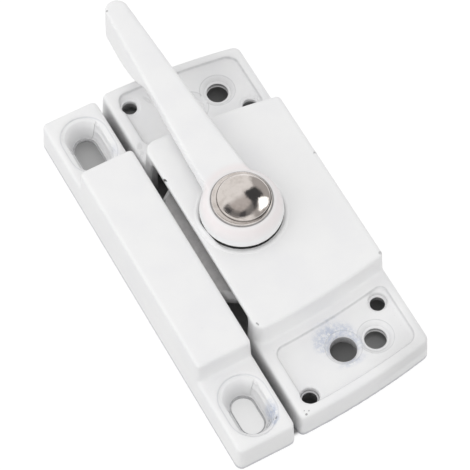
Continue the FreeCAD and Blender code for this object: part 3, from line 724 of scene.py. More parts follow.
@dataclass(frozen=True)
class Softness:
    """How a die and its paint round a casting: radii inside and outside corners, and the width of its voxels.

    The last surface is simplified a little, and margin voxels are kept on either side of each.
    """

    inside: float
    outside: float
    width: float = 0.2
    quick_width: float = 0.28
    simplify: float = 0.02
    margin: int = 3

    def apply(self, node: str, name: str, cut: Facets | None = None) -> bpy.types.Object:
        """A casting's surface with every corner rounded.

        Args:
            node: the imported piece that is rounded.
            name: name of the new piece.
            cut: closed parts that are sunk into the casting first.

        Returns:
            The rounded piece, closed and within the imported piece's box.
        """
        mesh = self._sink(node, cut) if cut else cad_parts[node].data
        mesh.calc_loop_triangles()
        points = np.empty(len(mesh.vertices) * 3, dtype=np.float32)
        mesh.vertices.foreach_get("co", points)
        triangles = np.empty(len(mesh.loop_triangles) * 3, dtype=np.int32)
        mesh.loop_triangles.foreach_get("vertices", triangles)
        shape = (points.reshape(-1, 3) / MM, triangles.reshape(-1, 3).astype(np.uint32),
                 np.empty((0, 4), dtype=np.uint32))
        for offset in (self.inside, -self.inside, -self.outside, self.outside):
            shape = self._offset(shape, offset)
        facets = Facets()
        facets.add([tuple(point) for point in shape[0].tolist()], shape[1].tolist() + shape[2].tolist())
        piece = facets.make(name)
        self._face_outwards(piece.data)
        return piece

    @staticmethod
    def _sink(node: str, cut: Facets) -> bpy.types.Mesh:
        """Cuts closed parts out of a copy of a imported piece's mesh.

        Args:
            node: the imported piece, which stays as it is.
            cut: the parts that are cut out.

        Returns:
            The new mesh.
        """
        blank = bpy.data.objects.new("blank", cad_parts[node].data.copy())
        bpy.context.scene.collection.objects.link(blank)
        tool = cut.make("cutting_tool")
        blank.modifiers.new("weld", "WELD").merge_threshold = WELD_REACH
        boolean = blank.modifiers.new("sink", "BOOLEAN")
        boolean.operation, boolean.solver, boolean.object = "DIFFERENCE", "EXACT", tool
        shaped = blank.evaluated_get(bpy.context.evaluated_depsgraph_get())
        mesh = bpy.data.meshes.new_from_object(shaped)
        for helper in (blank, tool):
            bpy.data.objects.remove(helper)
        return mesh

    def _offset(self, shape: tuple, offset: float) -> tuple[np.ndarray, np.ndarray, np.ndarray]:
        """Moves a closed surface outwards or inwards.

        Args:
            shape: points, triangles and quads of the surface.
            offset: how far it moves. A negative offset moves it inwards.

        Returns:
            Points, triangles and quads of the moved surface.
        """
        points, triangles, quads = shape
        width = self.width
        grid = openvdb.FloatGrid.createLevelSetFromPolygons(
            points=points, triangles=triangles, quads=quads,
            transform=openvdb.createLinearTransform(voxelSize=width), halfWidth=abs(offset) / width + self.margin)
        last = offset == self.outside
        return grid.convertToPolygons(isovalue=offset, adaptivity=self.simplify if last else 0.0)

    @staticmethod
    def _face_outwards(mesh: bpy.types.Mesh) -> None:
        """Turns all faces over if the mesh's signed volume is negative.

        Args:
            mesh: a closed mesh.
        """
        mesh.calc_loop_triangles()
        volume = sum(mesh.vertices[a].co.dot(mesh.vertices[b].co.cross(mesh.vertices[c].co))
                     for a, b, c in (triangle.vertices for triangle in mesh.loop_triangles))
        if volume < 0:
            mesh.flip_normals()


def place_piece(piece: bpy.types.Object, body: Body, material: bpy.types.Material,
                stands_for: str | None = None, sharp: float = 35.0) -> None:
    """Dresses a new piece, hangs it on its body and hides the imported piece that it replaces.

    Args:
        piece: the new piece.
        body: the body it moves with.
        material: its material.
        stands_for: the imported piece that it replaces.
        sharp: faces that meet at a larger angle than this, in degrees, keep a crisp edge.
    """
    piece.data.materials.append(material)
    piece.data.shade_smooth()
    piece.data.set_sharp_from_angle(angle=math.radians(sharp))
    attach(piece, body.value)
    if stands_for:
        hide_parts(stands_for)
    log.info("%s rides on %s with %s", piece.name, body.value, material.name)


def dress(node: str, material: bpy.types.Material, edge: float = 0.0) -> None:
    """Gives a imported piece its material.

    Args:
        node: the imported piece.
        material: its material.
        edge: width of its broken edges. They stay as they are at 0.
    """
    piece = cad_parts[node]
    piece.data.materials.clear()
    piece.data.materials.append(material)
    if edge:
        piece.modifiers.new("weld", "WELD").merge_threshold = WELD_REACH
        bevel = piece.modifiers.new("broken_edges", "BEVEL")
        bevel.width, bevel.segments, bevel.use_clamp_overlap = edge * MM, EDGE_STEPS, True
        bevel.limit_method, bevel.angle_limit = "ANGLE", math.radians(EDGE_ANGLE)
    log.info("dressed %s with %s", node, material.name)


@dataclass
class Housing:
    """The cast housing: its skin, what is in its holes, and the lip round the washer.

    The skin's roof ends in a trimmed edge over the cam's mouth. The sections of what is in a hole are
    closed loops of distances from the hole's wall and from a height, which is a ridge's middle or the top
    of the paint.
    """

    softness: Softness = Softness(0.42, 0.14)
    box_top: float = 12.8
    panel_floor: float = 6.0
    tab_back: float = 2.6
    tab_top: float = 7.0
    gap_side: float = -10.05
    middle: float = -0.6
    end_curve: float = 300.0
    panel_middle: Place = (5.0, 31.5)
    panel_half: Place = (12.4, 6.5)
    panel_corner: float = 1.9
    screw_radius: float = 2.55
    near_screws: tuple[Place, ...] = ((4.6, -30.9), (4.6, 28.8))
    far_screws: tuple[Place, ...] = ((11.0, -31.8), (11.0, 29.7))
    small_radius: float = 1.85
    corner_holes: tuple[Place, ...] = ((-5.9, -36.65), (-5.9, 34.55))
    shoulder_holes: tuple[Place, ...] = ((14.95, -25.7), (14.95, 23.6))
    ridge: tuple[Place, ...] = ((0.1, -0.18), (0.1, 0.18), (-0.24, 0.144), (-0.4, 0.036), (-0.4, -0.036),
                                (-0.24, -0.144))
    screw_ridges: Place = (4.85, 3.7)
    corner_ridge: float = 4.6
    shoulder_ridge: float = 4.9
    thin_paint: tuple[Place, ...] = ((0.25, -1.3), (0.25, -0.16), (-0.1, -0.14), (-0.32, -0.3), (-0.38, -0.6),
                                     (-0.3, -1.3))
    thick_paint: tuple[Place, ...] = ((0.25, -1.3), (0.25, -0.16), (-0.23, -0.14), (-0.736, -0.3), (-0.874, -0.6),
                                      (-0.69, -1.3))
    thick_paint_top: float = 5.25
    hole_steps: int = 64
    lip: Place = (8.2, 8.95)
    lip_height: float = 0.1
    lip_foot: float = 0.2
    lip_steps: int = 144
    lip_crease: float = 60.0
    bead_angle: float = 188.0
    bead_spread: float = 34.0
    bead_height: float = 0.75
    roof_edge: float = -9.5
    roof_under: float = 10.6
    roof_lean: float = 0.25
    roof_above: float = 0.3
    roof_beside: float = 0.6
    roof_ends: tuple[Place, ...] = ((-21.3, -19.8), (18.6, 20.1))
    # painted shade inside the screw holes and small holes
    soot_and_shade: Colour = display(92, 92, 94)
    # painted shade line at the edge of each screw seat
    seat_shade_line: Colour = display(176, 176, 178)
    stains: tuple[Mark, ...] = (
        Mark((4.0, -27.3, 6.0), (4.9, 2.8), -6, 1.0), Mark((1.3, -28.9, 6.0), (2.4, 2.9), 20, 0.8),
        Mark((7.3, -30.0, 6.0), (1.8, 4.4), 10, 0.8), Mark((4.6, -34.2, 6.0), (3.8, 1.4), 0, 0.7),
        Mark((6.5, -25.6, 7.2), (6.5, 1.3), -8, 0.45))
    flecks: tuple[Mark, ...] = (
        Mark((-9.25, 13.2, 12.4), (0.2, 0.62), 20, 1.0, 0.7), Mark((-8.5, -39.9, 6.7), (0.32, 0.26), 0, 0.6),
        Mark((-8.5, -39.1, 6.8), (0.16, 0.16), 0, 0.5), Mark((-7.75, -39.5, 6.7), (0.24, 0.2), 0, 0.4),
        Mark((-2.1, 34.3, 6.2), (0.5, 1.5), 20, 0.13), Mark((-1.2, 34.9, 6.2), (0.45, 1.2), 20, 0.13),
        Mark((-8.7, 25.0, 6.9), (1.4, 0.7), 60, 0.14), Mark((-9.1, 23.2, 6.9), (1.2, 0.6), 60, 0.12),
        Mark((-8.8, -21.9, 12.75), (0.22, 0.5), 20, 0.6, 0.7),
        Mark((-8.9, -22.9, 12.6), (0.2, 0.45), 20, 0.5, 0.8),
        Mark((18.7, 4.7, 12.4), (0.6, 0.5), 0, 0.55, 1.0), Mark((18.6, -20.0, 12.4), (0.6, 0.5), 0, 0.4, 1.0))
    # painted shade: light falling off over the tabs, and shade in the gap beside the keeper
    painted_shade_patches: tuple[Mark, ...] = (
        Mark((15.0, -38.0, 6.6), (11.0, 9.0), 20, 0.3, 4.0), Mark((13.0, 34.0, 6.6), (9.0, 8.0), 0, 0.2, 4.0),
        Mark((-10.2, 31.0, 2.6), (1.3, 13.0), 0, 0.8, 5.0), Mark((-10.2, -31.0, 2.6), (1.3, 13.0), 0, 0.7, 5.0))

    def build(self) -> None:
        """Builds and dresses the housing's pieces."""
        enamel = self._enamel()
        cut = Facets()
        self._roof_cut(cut)
        skin = self.softness.apply("lock_housing", "housing_casting", cut)
        place_piece(skin, Body.BASE, enamel, stands_for="lock_housing", sharp=SKIN_CREASE)
        place_piece(self._hole_ridges(), Body.BASE, enamel)
        place_piece(self._washer_lip(), Body.BASE, enamel, sharp=self.lip_crease)

    def _roof_cut(self, facets: Facets) -> None:
        """Trims the roof's edge over the cam's mouth, so that it ends crisply.

        Args:
            facets: the parts that are cut out of the casting.
        """
        (first, second), (third, fourth) = self.roof_ends
        low, high, out = self.roof_under, self.box_top + self.roof_above, self.gap_side - self.roof_beside
        side = self.gap_side - 0.01
        facets.loft([[(out, along, low), (edge + lean, along, low), (edge, along, self.box_top),
                      (edge, along, high), (out, along, high)]
                     for along, edge, lean in ((first, side, 0.0), (second, self.roof_edge, self.roof_lean),
                                               (third, self.roof_edge, self.roof_lean), (fourth, side, 0.0))],
                    whole=False)

    def _hole_ridges(self) -> bpy.types.Object:
        """Lines the holes with ridges and with the paint that narrows them.

        Returns:
            All rings as one object.
        """
        (low_corner, high_corner), (low_shoulder, high_shoulder) = self.corner_holes, self.shoulder_holes
        rings = [(place, self.screw_radius, height, self.ridge)
                 for place in self.far_screws for height in self.screw_ridges]
        rings += [(low_corner, self.small_radius, self.corner_ridge, self.ridge),
                  (low_shoulder, self.small_radius, self.shoulder_ridge, self.ridge),
                  (high_corner, self.small_radius, self.panel_floor, self.thin_paint),
                  (high_shoulder, self.small_radius, self.panel_floor, self.thin_paint),
                  (self.near_screws[1], self.screw_radius, self.thick_paint_top, self.thick_paint)]
        facets = Facets()
        for place, wall, height, shape in rings:
            facets.turn([(wall + out, height + up) for out, up in shape], place, self.hole_steps)
        return facets.make("hole_ridges")

    def _washer_lip(self) -> bpy.types.Object:
        """The low lip round the washer, which swells into a bead of paint on one side.

        Returns:
            The lip as one ring.
        """
        top, (inner, outer) = self.box_top, self.lip
        foot = top - self.lip_foot
        rows = []
        for step in range(self.lip_steps):
            angle = step * FULL_TURN / self.lip_steps
            away = min(abs(angle - self.bead_angle) / self.bead_spread, 1.0)
            bead = self.bead_height * math.cos(away * math.pi / 2) ** 2
            near, high = inner - bead * 0.4, top + self.lip_height + bead
            rows.append(section([(near, foot), (outer, foot), (outer - 0.04, top + self.lip_height * 0.5),
                                 (outer - 0.2, high - bead * 0.5), (inner + 0.12, high), (near, high - 0.04)],
                                (0.0, 0.0), angle))
        lip = Facets()
        lip.loft(rows, whole=True)
        return lip.make("washer_lip")

    def _enamel(self) -> bpy.types.Material:
        """The housing's enamel, with painted shade in its holes, on its tabs and in the gap, and painted shade
        lines round its screw seats and panels.

        Returns:
            The enamel with all its marks.
        """
        floor = self.panel_floor
        screws, small = (*self.near_screws, *self.far_screws), (*self.corner_holes, *self.shoulder_holes)
        holes = [(place, self.screw_radius) for place in screws] + [(place, self.small_radius) for place in small]
        # painted shade down the holes' walls
        soot_and_shade = [Halo(place, radius, 0.5, (self.tab_back, floor - 1.1), self.soot_and_shade, 0.8) for place, radius in holes]
        # painted shade lines at the screw seats' edges
        seats = [Halo(place, self.screw_radius + 0.95, 0.16, (floor - 0.3, floor + 0.1), self.seat_shade_line, 0.5)
                 for place in screws]
        # painted shade line along the panel's crease
        panel = Outline(self.panel_middle, self.panel_half, self.panel_corner, (floor - 0.1, self.tab_top + 0.1),
                        self.middle, self.end_curve, self.gap_side, width=0.26, strength=0.45)
        return Enamel("housing_enamel", self.stains, self.flecks, (*soot_and_shade, *seats), (panel,), self.painted_shade_patches).build()


@dataclass
class Keeper:
    """The cast keeper: its skin with the wide shallow seats, and what stands in them.

    On the gap's side of a slot are steps, at its +Y end a half-ring wall, and all round it a cone down
    to a lip. Their sections are closed loops of radius and height.
    """

    softness: Softness = Softness(0.4, 0.14)
    tab_top: float = 7.4
    seats: tuple[Place, ...] = ((-17.05, -33.2), (-17.05, 30.1))
    reach: float = 1.75
    seat_radius: float = 4.75
    seat_depth: float = 0.36
    slot_radius: float = 2.45
    slot_top: float = 2.9
    turn_step: int = 6
    step_angles: Place = (-95.0, 32.0)
    step_fade: Place = (-20.0, -90.0)
    step_stations: int = 48
    steps: tuple[Place, ...] = ((2.75, 3.5), (3.3, 5.2), (3.85, 6.6))
    step_wall: float = 4.4
    floor: float = 2.7
    ledge_angles: Place = (34.0, 178.0)
    ledge_steps: int = 96
    ledge: tuple[Place, ...] = (
        (4.7, 2.5), (4.7, 6.98), (4.1, 6.95), (3.9, 6.8), (3.3, 5.0), (2.82, 3.7), (2.6, 3.0), (2.6, 2.5))
    cone: tuple[Place, ...] = (
        (4.6, 2.6), (4.6, 6.7), (4.3, 6.82), (4.12, 6.7), (3.5, 4.9), (3.0, 3.6), (2.66, 2.95), (2.4, 2.78),
        (2.24, 2.66), (2.18, 2.4), (2.26, 2.1), (2.6, 2.0))
    # painted shade lines: down the slots' walls and at the seats' edges
    slot_shade_line: Colour = display(96, 97, 102)
    seat_shade_line: Colour = display(188, 190, 196)
    stains: tuple[Mark, ...] = (
        Mark((-13.6, -36.0, 6.0), (1.5, 3.0), -8, 1.0, 3.2), Mark((-14.2, -38.1, 5.2), (1.7, 1.2), 30, 1.0, 3.0),
        Mark((-13.2, 27.0, 6.0), (1.1, 2.4), 0, 0.35, 2.4))
    flecks: tuple[Mark, ...] = (
        Mark((-14.3, -36.7, 5.0), (0.3, 0.5), 0, 0.6, 2.4), Mark((-13.8, -37.7, 5.2), (0.5, 0.35), 0, 0.75, 2.4),
        Mark((-11.6, -17.1, 12.9), (0.25, 0.5), 0, 0.9, 0.7),
        Mark((-14.9, -37.3, 4.2), (0.9, 0.6), 40, 0.45, 2.2))

    def build(self) -> None:
        """Builds and dresses the keeper's pieces."""
        enamel = self._enamel()
        cut, steps = Facets(), Facets()
        low, high = self.tab_top - self.seat_depth, self.tab_top + 2
        for place in self.seats:
            sides = self._oblong_rows(place, ((self.seat_radius, high), (self.seat_radius, low)))
            cut.loft(list(zip(*sides)), whole=False)
            steps.loft(self._step_rows(place), whole=False)
            steps.turn(self.ledge, (place[0], place[1] + self.reach), self.ledge_steps, *self.ledge_angles)
            steps.loft(self._oblong_rows(place, self.cone), whole=True)
        skin = self.softness.apply("keeper", "keeper_casting", cut)
        place_piece(skin, Body.BASE, enamel, stands_for="keeper", sharp=SKIN_CREASE)
        place_piece(steps.make("seat_steps"), Body.BASE, enamel)

    def _oblong_rows(self, place: Place, profile: Sequence[Place]) -> list[list[Point]]:
        """Sections round an oblong slot."""
        return [section(profile, (place[0], place[1] + end * self.reach), angle)
                for end, first in ((1, 0), (-1, 180)) for angle in range(first, first + 181, self.turn_step)]

    def _step_rows(self, place: Place) -> list[list[Point]]:
        """Sections through the steps on the gap's side of a slot, which fade out towards its end.

        Args:
            place: the slot's middle.

        Returns:
            One loop of points for each station round the slot.
        """
        profile = [(self.step_wall, self.floor), (self.step_wall, self.steps[-1][1])]
        for radius, height in reversed(self.steps):
            profile += [(radius + 0.06, height), (radius, height - 0.07), (radius, height - 0.7)]
        profile.append((self.steps[0][0], self.floor))
        (first, last), (strong, faded) = self.step_angles, self.step_fade
        rows = []
        for station in range(self.step_stations + 1):
            angle = first + (last - first) * station / self.step_stations
            fade = min(max((strong - angle) / (strong - faded), 0.0), 1.0)
            rows.append(section([(radius + max(self.step_wall - 0.02 - radius, 0.0) * fade, height)
                                 for radius, height in profile],
                                (place[0], place[1] + math.copysign(self.reach, angle)), angle))
        return rows

    def _enamel(self) -> bpy.types.Material:
        """The keeper's enamel, with painted shade lines round its slots and seats.

        Returns:
            The enamel with all its marks.
        """
        (side, low), (_, high) = self.seats
        lines = [Outline((side, (high - low) / 2), (radius, self.reach + radius), radius, heights,
                         (low + high) / 2, width=width, colour=colour, strength=strength)
                 for radius, heights, width, colour, strength in (
                     (self.slot_radius, (0.0, self.slot_top - 0.1), 0.5, self.slot_shade_line, 0.75),
                     (self.seat_radius, (self.tab_top - 0.6, self.tab_top + 0.1), 0.22, self.seat_shade_line, 0.5))]
        return Enamel("keeper_enamel", self.stains, self.flecks, outlines=tuple(lines)).build()


@dataclass
class Lever:
    """The cast lever: its skin, blended softly where the arm leaves the hub."""

    softness: Softness = Softness(0.7, 0.16)
    hub_top: float = 17.9
    contact_radius: float = 5.86
    # painted contact shadow where the rivet's flange meets the hub
    rivet_contact_shadow: Colour = display(76, 72, 70)
    blush: Colour = display(238, 226, 226)
    flecks: tuple[Mark, ...] = (
        Mark((-2.35, 49.9, 16.9), (0.3, 0.3), 0, 0.45), Mark((-4.5, 28.8, 16.6), (0.16, 0.5), 0, 0.4),
        Mark((-3.9, 27.1, 16.8), (0.16, 0.4), 0, 0.35))

    def build(self) -> None:
        """Builds and dresses the lever, with a painted contact shadow ring at the rivet and a faint warm ring
        round it.
        """
        axis, high = (0.0, 0.0), self.hub_top + 0.1
        halos = (Halo(axis, self.contact_radius, 0.26, (self.hub_top - 0.4, high), self.rivet_contact_shadow, 1.0),
                 Halo(axis, 7.0, 1.5, (15.5, high), self.blush, 0.6))
        enamel = Enamel("lever_enamel", flecks=self.flecks, halos=halos).build()
        skin = self.softness.apply("lever_handle", "lever_casting")
        place_piece(skin, Body.LEVER, enamel, stands_for="lever_handle", sharp=SKIN_CREASE)


@dataclass
class Pivot:
    """What the lever turns on: the domed rivet, the fibre washer, the bush and the wave washer.

    A section of the rivet is given by its radius, its height and its share of the dome's shift. The dome's
    own rows stop at dome_reach of its radius, and its rim is the start of the flange.
    """

    hub_top: float = 17.9
    hub_base: float = 13.65
    box_top: float = 12.8
    washer_hole: float = 3.3
    washer_radius: float = 7.98
    dome_foot: float = 18.75
    dome_radius: float = 5.0
    dome_rise: float = 1.5
    dome_reach: float = 0.985
    dome_shift: Place = (0.32, -0.17)
    dome_rows: int = 28
    dome_steps: int = 160
    rivet_crease: float = 50.0
    washer_crease: float = 60.0
    # painted dark reflection on the ledge at the dome's foot, as a ring
    ledge_dark_reflection: Place = (5.09, 0.14)
    flange: tuple[Point, ...] = (
        (4.99, 18.7, 1.0), (5.0, 18.61, 1.0), (5.01, 18.47, 0.95), (5.05, 18.41, 0.85), (5.13, 18.38, 0.65),
        (5.45, 18.4, 0.1), (5.55, 18.39, 0.0), (5.65, 18.33, 0.0), (5.71, 18.18, 0.0), (5.75, 18.08, 0.0),
        (5.75, 17.99, 0.0), (5.63, 17.91, 0.0), (0.0, 17.91, 0.0))
    upper_square: Place = (3.0, 0.25)
    lower_square: Place = (2.1, 0.2)
    shank: float = 3.0
    index_top: float = 9.8
    cam_bottom: float = 6.4
    tail: float = 2.0
    peen: float = 3.2
    peen_top: float = 5.6
    peen_round: float = 0.4
    peen_turns: tuple[float, ...] = (0.0, 0.4, 0.8, 1.2, math.pi / 2)
    peen_face: tuple[Point, ...] = ((1.8, 4.82, 0.0), (1.5, 4.92, 0.0), (0.6, 5.0, 0.0), (0.0, 5.0, 0.0))

    def build(self) -> None:
        """Builds and dresses the pivot's pieces."""
        nickel = TurnedMetal("rivet_nickel", display(232, 227, 224), display(204, 197, 192), 0.07,
                             self.dome_shift, 7.0, 0.02, 0.05, (self.ledge_dark_reflection,)).build()
        bronze = TurnedMetal("bush_bronze", display(204, 166, 112), display(150, 112, 70), 0.34).build()
        place_piece(self._rivet(), Body.LEVER, nickel, stands_for="pivot_rivet",
                    sharp=self.rivet_crease)
        place_piece(self._washer(), Body.BASE, BlackFibre("washer_fibre").build(),
                    stands_for="hub_washer", sharp=self.washer_crease)
        dress("pivot_bush", bronze, 0.08)
        dress("spring_washer", TemperedSteel("wave_washer_steel").build(), 0.05)

    def _rivet(self) -> bpy.types.Object:
        """The rivet: a dome slightly off its flange's middle, square, shank, square, tail and peen.

        Returns:
            The rivet as five closed parts.
        """
        ball = (self.dome_radius ** 2 + self.dome_rise ** 2) / (2 * self.dome_rise)
        crown = self.dome_foot + self.dome_rise
        radii = [self.dome_radius * self.dome_reach * row / self.dome_rows for row in range(self.dome_rows + 1)]
        dome = [(radius, crown - ball + math.sqrt(ball * ball - radius * radius), 1.0) for radius in radii]
        round_middle = self.peen - self.peen_round, self.peen_top - self.peen_round
        peen = [(round_middle[0] + self.peen_round * math.cos(angle),
                 round_middle[1] - self.peen_round * math.sin(angle), 0.0) for angle in self.peen_turns]
        facets = Facets()
        facets.spin((*dome, *self.flange), self.dome_shift, self.dome_steps)
        facets.bar(*self.upper_square, self.hub_base, self.hub_top + 0.05)
        high, low = self.hub_base + 0.05, self.index_top - 0.02
        facets.spin([(radius, height, 0.0) for radius, height in
                     ((0.0, high), (self.shank, high), (self.shank, low), (0.0, low))])
        facets.bar(*self.lower_square, self.cam_bottom, self.index_top)
        top = self.cam_bottom + 0.02
        facets.spin([(0.0, top, 0.0), (self.tail, top, 0.0), (self.tail, self.peen_top, 0.0),
                     (self.peen, self.peen_top - 0.01, 0.0), *peen, *self.peen_face])
        return facets.make("domed_rivet")

    def _washer(self) -> bpy.types.Object:
        """The fibre washer, squeezed so that its edge bulges.

        Returns:
            The washer as one ring.
        """
        low, high = self.box_top + 0.01, self.hub_base - 0.05
        edge = [(self.washer_radius - inset, low + (high - low) * share)
                for inset, share in ((0.24, 0.0), (0.07, 0.2), (0.0, 0.5), (0.07, 0.8), (0.24, 1.0))]
        facets = Facets()
        facets.turn([(self.washer_hole, low), *edge, (self.washer_hole, high)])
        return facets.make("pressed_washer")


@dataclass
class LockingWork:
    """The steel parts under the box: cam, index plate, backing washer, detent spring, rivets and stop pin."""

    spring_rivet: Place = (9.5, 11.2)
    stop_pin: Place = (0.0, -9.0)
    # painted highlights on the cam's end edges
    cam_highlights: tuple[Mark, ...] = (Mark((-9.5, 12.75, 8.8), (2.2, 0.75), 35, 1.0, 2.6),
                                   Mark((-9.2, -12.5, 8.8), (2.0, 0.7), -61, 0.6, 2.6))

    def build(self) -> None:
        """Dresses the steel parts."""
        grey = display(150, 150, 152)
        cam = BlankedSteel("cam_steel", display(214, 213, 213), display(194, 193, 194), 0.5, 0.3,
                           painted_highlights=self.cam_highlights)
        plate = BlankedSteel("index_plate_steel", display(186, 180, 160), display(160, 152, 130))
        washer = BlankedSteel("backing_washer_steel", display(182, 184, 186), grey, rolling=(1.0, 1.0, 1.0))
        spring = TemperedSteel("detent_spring_steel", roughness=0.26)
        rivets = TurnedMetal("spring_rivet_metal", display(196, 196, 198), grey, 0.3, self.spring_rivet)
        pin = TurnedMetal("stop_pin_steel", display(190, 190, 192), display(140, 138, 136), 0.24, self.stop_pin)
        for node, finish, edge in (
                ("locking_cam", cam, 0.14), ("index_plate", plate, 0.08), ("backing_washer", washer, 0.08),
                ("detent_spring", spring, 0.0), ("spring_rivets", rivets, 0.12), ("stop_pin", pin, 0.12)):
            dress(node, finish.build(), edge)


@dataclass(frozen=True)
class Room:
    """A plain made-up room that only glossy rays see, painted by direction.

    A direction's parts run across the lock, along it and upwards. A pair gives the values between which
    one colour goes over into the next. The window's edges lean, each by the number before its pair, and
    ripple_reach says how far the ripple shifts a direction across and what share of that along.
    """

    zenith: Point = (-0.057, 0.214, 0.975)
    bright_wall: Colour = display(236, 233, 230)
    dim_wall: Colour = display(172, 168, 165)
    dark_gap: Colour = display(76, 75, 76)
    ceiling: Colour = display(190, 184, 180)
    spot_colour: Colour = display(66, 66, 67)
    window: Colour = (2.4, 2.4, 2.35)
    ripple: Grain = Grain(14.0, 5.0, 0.8)
    ripple_reach: Place = (0.26, 0.7)
    clouds: Grain = Grain(3.5, 2.0, 0.5)
    cloud_range: Place = (0.45, 0.6)
    cloud_share: float = 0.4
    ceiling_lean: float = 0.1
    ceiling_edge: Place = (0.4, 0.49)
    far_wall: Place = (0.56, 0.66)
    near_wall: Place = (0.05, 0.3)
    gap: Place = (0.73, 0.78)
    overhead: Place = (0.88, 0.93)
    overhead_fade: Place = (0.22, 0.5)
    spot: Point = (0.55, 0.27, 0.79)
    spot_edge: Place = (0.93, 0.955)
    window_sides: tuple[tuple[float, Place], ...] = ((0.39, (0.61, 0.65)), (0.23, (0.89, 0.86)))
    window_top: Place = (0.05, 0.02)
    window_foot: tuple[float, Place] = (0.518, (-0.71, -0.67))

    def paint(self, recipe: Recipe) -> Signal:
        """Paints the room.

        Args:
            recipe: the world's recipe.

        Returns:
            The colour that lies in the direction of a reflected ray.
        """
        toward = recipe.node("ShaderNodeTexCoord", output="Generated")
        across, along, height = recipe.axes(toward)
        wide, share = self.ripple_reach
        warp = (recipe.noise(toward, self.ripple) - 0.5) * wide
        across, along = across + warp, along + warp * share
        upright = nearness((across, along, height), self.zenith)
        spot = nearness((across, along, height), self.spot)
        low_side = recipe.blend(across.rise(*self.near_wall), self.bright_wall, self.dim_wall)
        overhead = recipe.blend(along.rise(*self.overhead_fade), self.ceiling, self.bright_wall)
        clouds = recipe.noise(toward, self.clouds).rise(*self.cloud_range) * self.cloud_share
        for share, tone in ((upright.rise(*self.gap), self.dark_gap), (clouds, self.dim_wall),
                            (upright.rise(*self.overhead), overhead),
                            (spot.rise(*self.spot_edge), self.spot_colour)):
            low_side = recipe.blend(share, low_side, tone)
        far_side = recipe.blend(across.rise(*self.far_wall), self.bright_wall, self.dim_wall)
        open_side = (along - across * self.ceiling_lean).rise(*self.ceiling_edge)
        pane = along.rise(*self.window_top)
        for lean, edge in self.window_sides:
            pane = pane * (across - along * lean).rise(*edge)
        lean, edge = self.window_foot
        pane = pane * (along - across * lean).rise(*edge)
        return recipe.blend(pane, recipe.blend(1 - open_side, far_side, low_side), self.window)


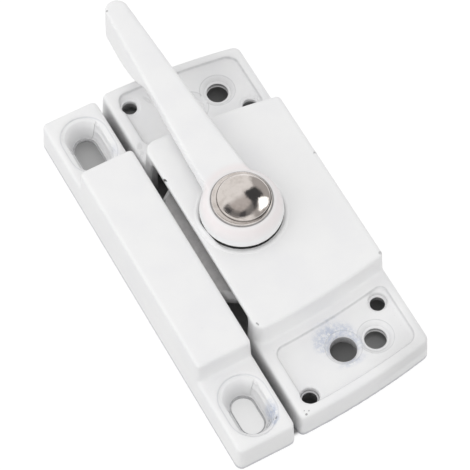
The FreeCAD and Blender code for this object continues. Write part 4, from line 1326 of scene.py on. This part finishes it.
@dataclass
class Studio:
    """Camera, floor, lamps and world. Its places and sizes are in metres, apart from those on the floor."""

    azimuth: float = -28.87
    elevation: float = 61.27
    distance: float = 0.520
    focal_pixels: float = 2704.0
    origin_pixel: Place = (241.54, 245.06)
    floor_reach: float = 3.0
    floor_drop: float = 0.0001
    # paper is painted shade: the floor under the castings is darker for camera rays
    paper: float = 0.42
    # lighter or darker spots under three holes: painted light and painted shade
    painted_light_and_shade_spots: tuple[tuple[Mark, float], ...] = (
        (Mark((-5.9, 34.55, 0.0), (3.2, 3.2)), 1.0), (Mark((11.0, -31.8, 0.0), (3.6, 3.6)), 0.8),
        (Mark((-5.9, -36.65, 0.0), (3.0, 3.0)), 0.2))
    end_curve: float = 300.0
    spot_fade: float = 0.3
    shadow_share: float = 0.17
    glow: float = 0.9
    side_fade: Place = (0.5, 1.5)
    end_fade: Place = (0.6, 1.6)
    keeper_fade: Place = (1.5, 2.5)
    slot_range: Place = (78.0, -88.0)
    world: float = 0.92
    room: Room = Room()
    lamps: tuple[tuple[str, Point, float, float], ...] = (
        ("key_lamp", (-0.8, 0.12, 0.22), 1.0, 2.6), ("fill_lamp", (-0.1, -0.8, 0.25), 0.6, 0.35))

    def build(self) -> None:
        """Sets up the whole studio."""
        self._aim_camera()
        self._lay_floor()
        self._light_room()
        for lamp in self.lamps:
            self._hang_lamp(*lamp)
        log.info("studio is ready")

    def _aim_camera(self) -> None:
        """Sets up the camera so that the lock's origin falls on its pixel of the photograph."""
        around, up = math.radians(self.azimuth), math.radians(self.elevation)
        back = Vector((math.sin(around) * math.cos(up), -math.cos(around) * math.cos(up), math.sin(up)))
        turn = (-back).to_track_quat("-Z", "Y")
        right, above = turn @ Vector((1, 0, 0)), turn @ Vector((0, 1, 0))
        middle = IMAGE_SIZE / 2
        pixel = self.distance / self.focal_pixels
        aim = (right * (middle - self.origin_pixel[0]) + above * (self.origin_pixel[1] - middle)) * pixel
        data = bpy.data.cameras.new("studio_camera")
        data.sensor_width = SENSOR_WIDTH
        data.lens = self.focal_pixels / IMAGE_SIZE * SENSOR_WIDTH
        camera = bpy.data.objects.new("studio_camera", data)
        bpy.context.scene.collection.objects.link(camera)
        camera.rotation_mode = "QUATERNION"
        camera.rotation_quaternion = turn
        camera.location = aim + back * self.distance
        bpy.context.scene.camera = camera

    def _lay_floor(self) -> None:
        """A white floor that keeps a faint shadow. Where a casting covers it, it is darker paper, which is
        painted shade, with lighter and darker painted spots under three holes.
        """
        mesh = bpy.data.meshes.new("floor")
        reach = self.floor_reach
        mesh.from_pydata([(-reach, -reach, 0), (reach, -reach, 0), (reach, reach, 0), (-reach, reach, 0)],
                         [], [(0, 1, 2, 3)])
        floor = bpy.data.objects.new("floor", mesh)
        bpy.context.scene.collection.objects.link(floor)
        floor.location.z = -self.floor_drop
        recipe = Recipe.of_material("floor_paper")
        axes = recipe.axes(recipe.place())
        # painted shade under the castings, with painted spots under the holes
        paper = recipe.diffuse(self.paper)
        for spot, grey in self.painted_light_and_shade_spots:
            paper = recipe.cover(spot.mask(axes, self.spot_fade), paper, recipe.diffuse(grey))
        glow = recipe.node("ShaderNodeEmission", None, {"Strength": self.glow})
        open_floor = recipe.node("ShaderNodeAddShader", None, {0: recipe.diffuse(self.shadow_share), 1: glow})
        seen = recipe.ray("Camera").larger(recipe.ray("Glossy")).larger(recipe.ray("Transmission"))
        mesh.materials.append(recipe.finish(recipe.cover(seen * (1 - self._covered(axes)), paper, open_floor)))

    def _covered(self, axes: Axes) -> Signal:
        """The floor under the castings, without what shows through the keeper's slots.

        Args:
            axes: the position on the floor.

        Returns:
            1 where the darker paper, painted shade, shows.
        """
        across, along, _ = axes
        low, high = (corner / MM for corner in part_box("lock_housing"))
        keeper_low, keeper_high = (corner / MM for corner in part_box("keeper"))
        fallen = (across - low.x) * (across - low.x) / self.end_curve
        inside = (across - keeper_low.x).rise(*self.side_fade) * (high.x - across).rise(*self.side_fade)
        for from_end in (along - low.y, high.y - along):
            inside = inside * (from_end - fallen).rise(*self.end_fade)
        shown = (keeper_high.x - across).rise(*self.keeper_fade) * along.rise(*self.slot_range)
        return inside * (1 - shown)

    def _light_room(self) -> None:
        """An even pale world, white behind the lock, with the room's light and dark parts for bright metal."""
        world = bpy.data.worlds.new("studio_world")
        bpy.context.scene.world = world
        recipe = Recipe(world)
        white = (1, 1, 1)
        lit = recipe.cover(recipe.ray("Glossy"), recipe.backdrop(white, self.world),
                           recipe.backdrop(self.room.paint(recipe)))
        recipe.finish(recipe.cover(recipe.ray("Camera"), lit, recipe.backdrop(white)))

    @staticmethod
    def _hang_lamp(name: str, place: Point, size: float, power: float) -> None:
        """Hangs one square area lamp, aimed at the lock.

        Args:
            name: its name.
            place: where it hangs.
            size: length of its side.
            power: its power in watts.
        """
        data = bpy.data.lights.new(name, "AREA")
        data.size = size
        data.energy = power
        lamp = bpy.data.objects.new(name, data)
        lamp.visible_glossy = False
        lamp.location = place
        lamp.rotation_mode = "QUATERNION"
        lamp.rotation_quaternion = (-Vector(place)).to_track_quat("-Z", "Y")
        bpy.context.scene.collection.objects.link(lamp)


def main() -> None:
    """Builds the lock's pieces in order and sets up the studio."""
    logging.basicConfig(level=logging.INFO, format="%(message)s")
    bpy.context.scene.view_settings.view_transform = "Standard"
    Studio().build()
    for part in (Housing(), Keeper(), Lever(), Pivot(), LockingWork()):
        part.build()


if __name__ == "__main__":
    main()
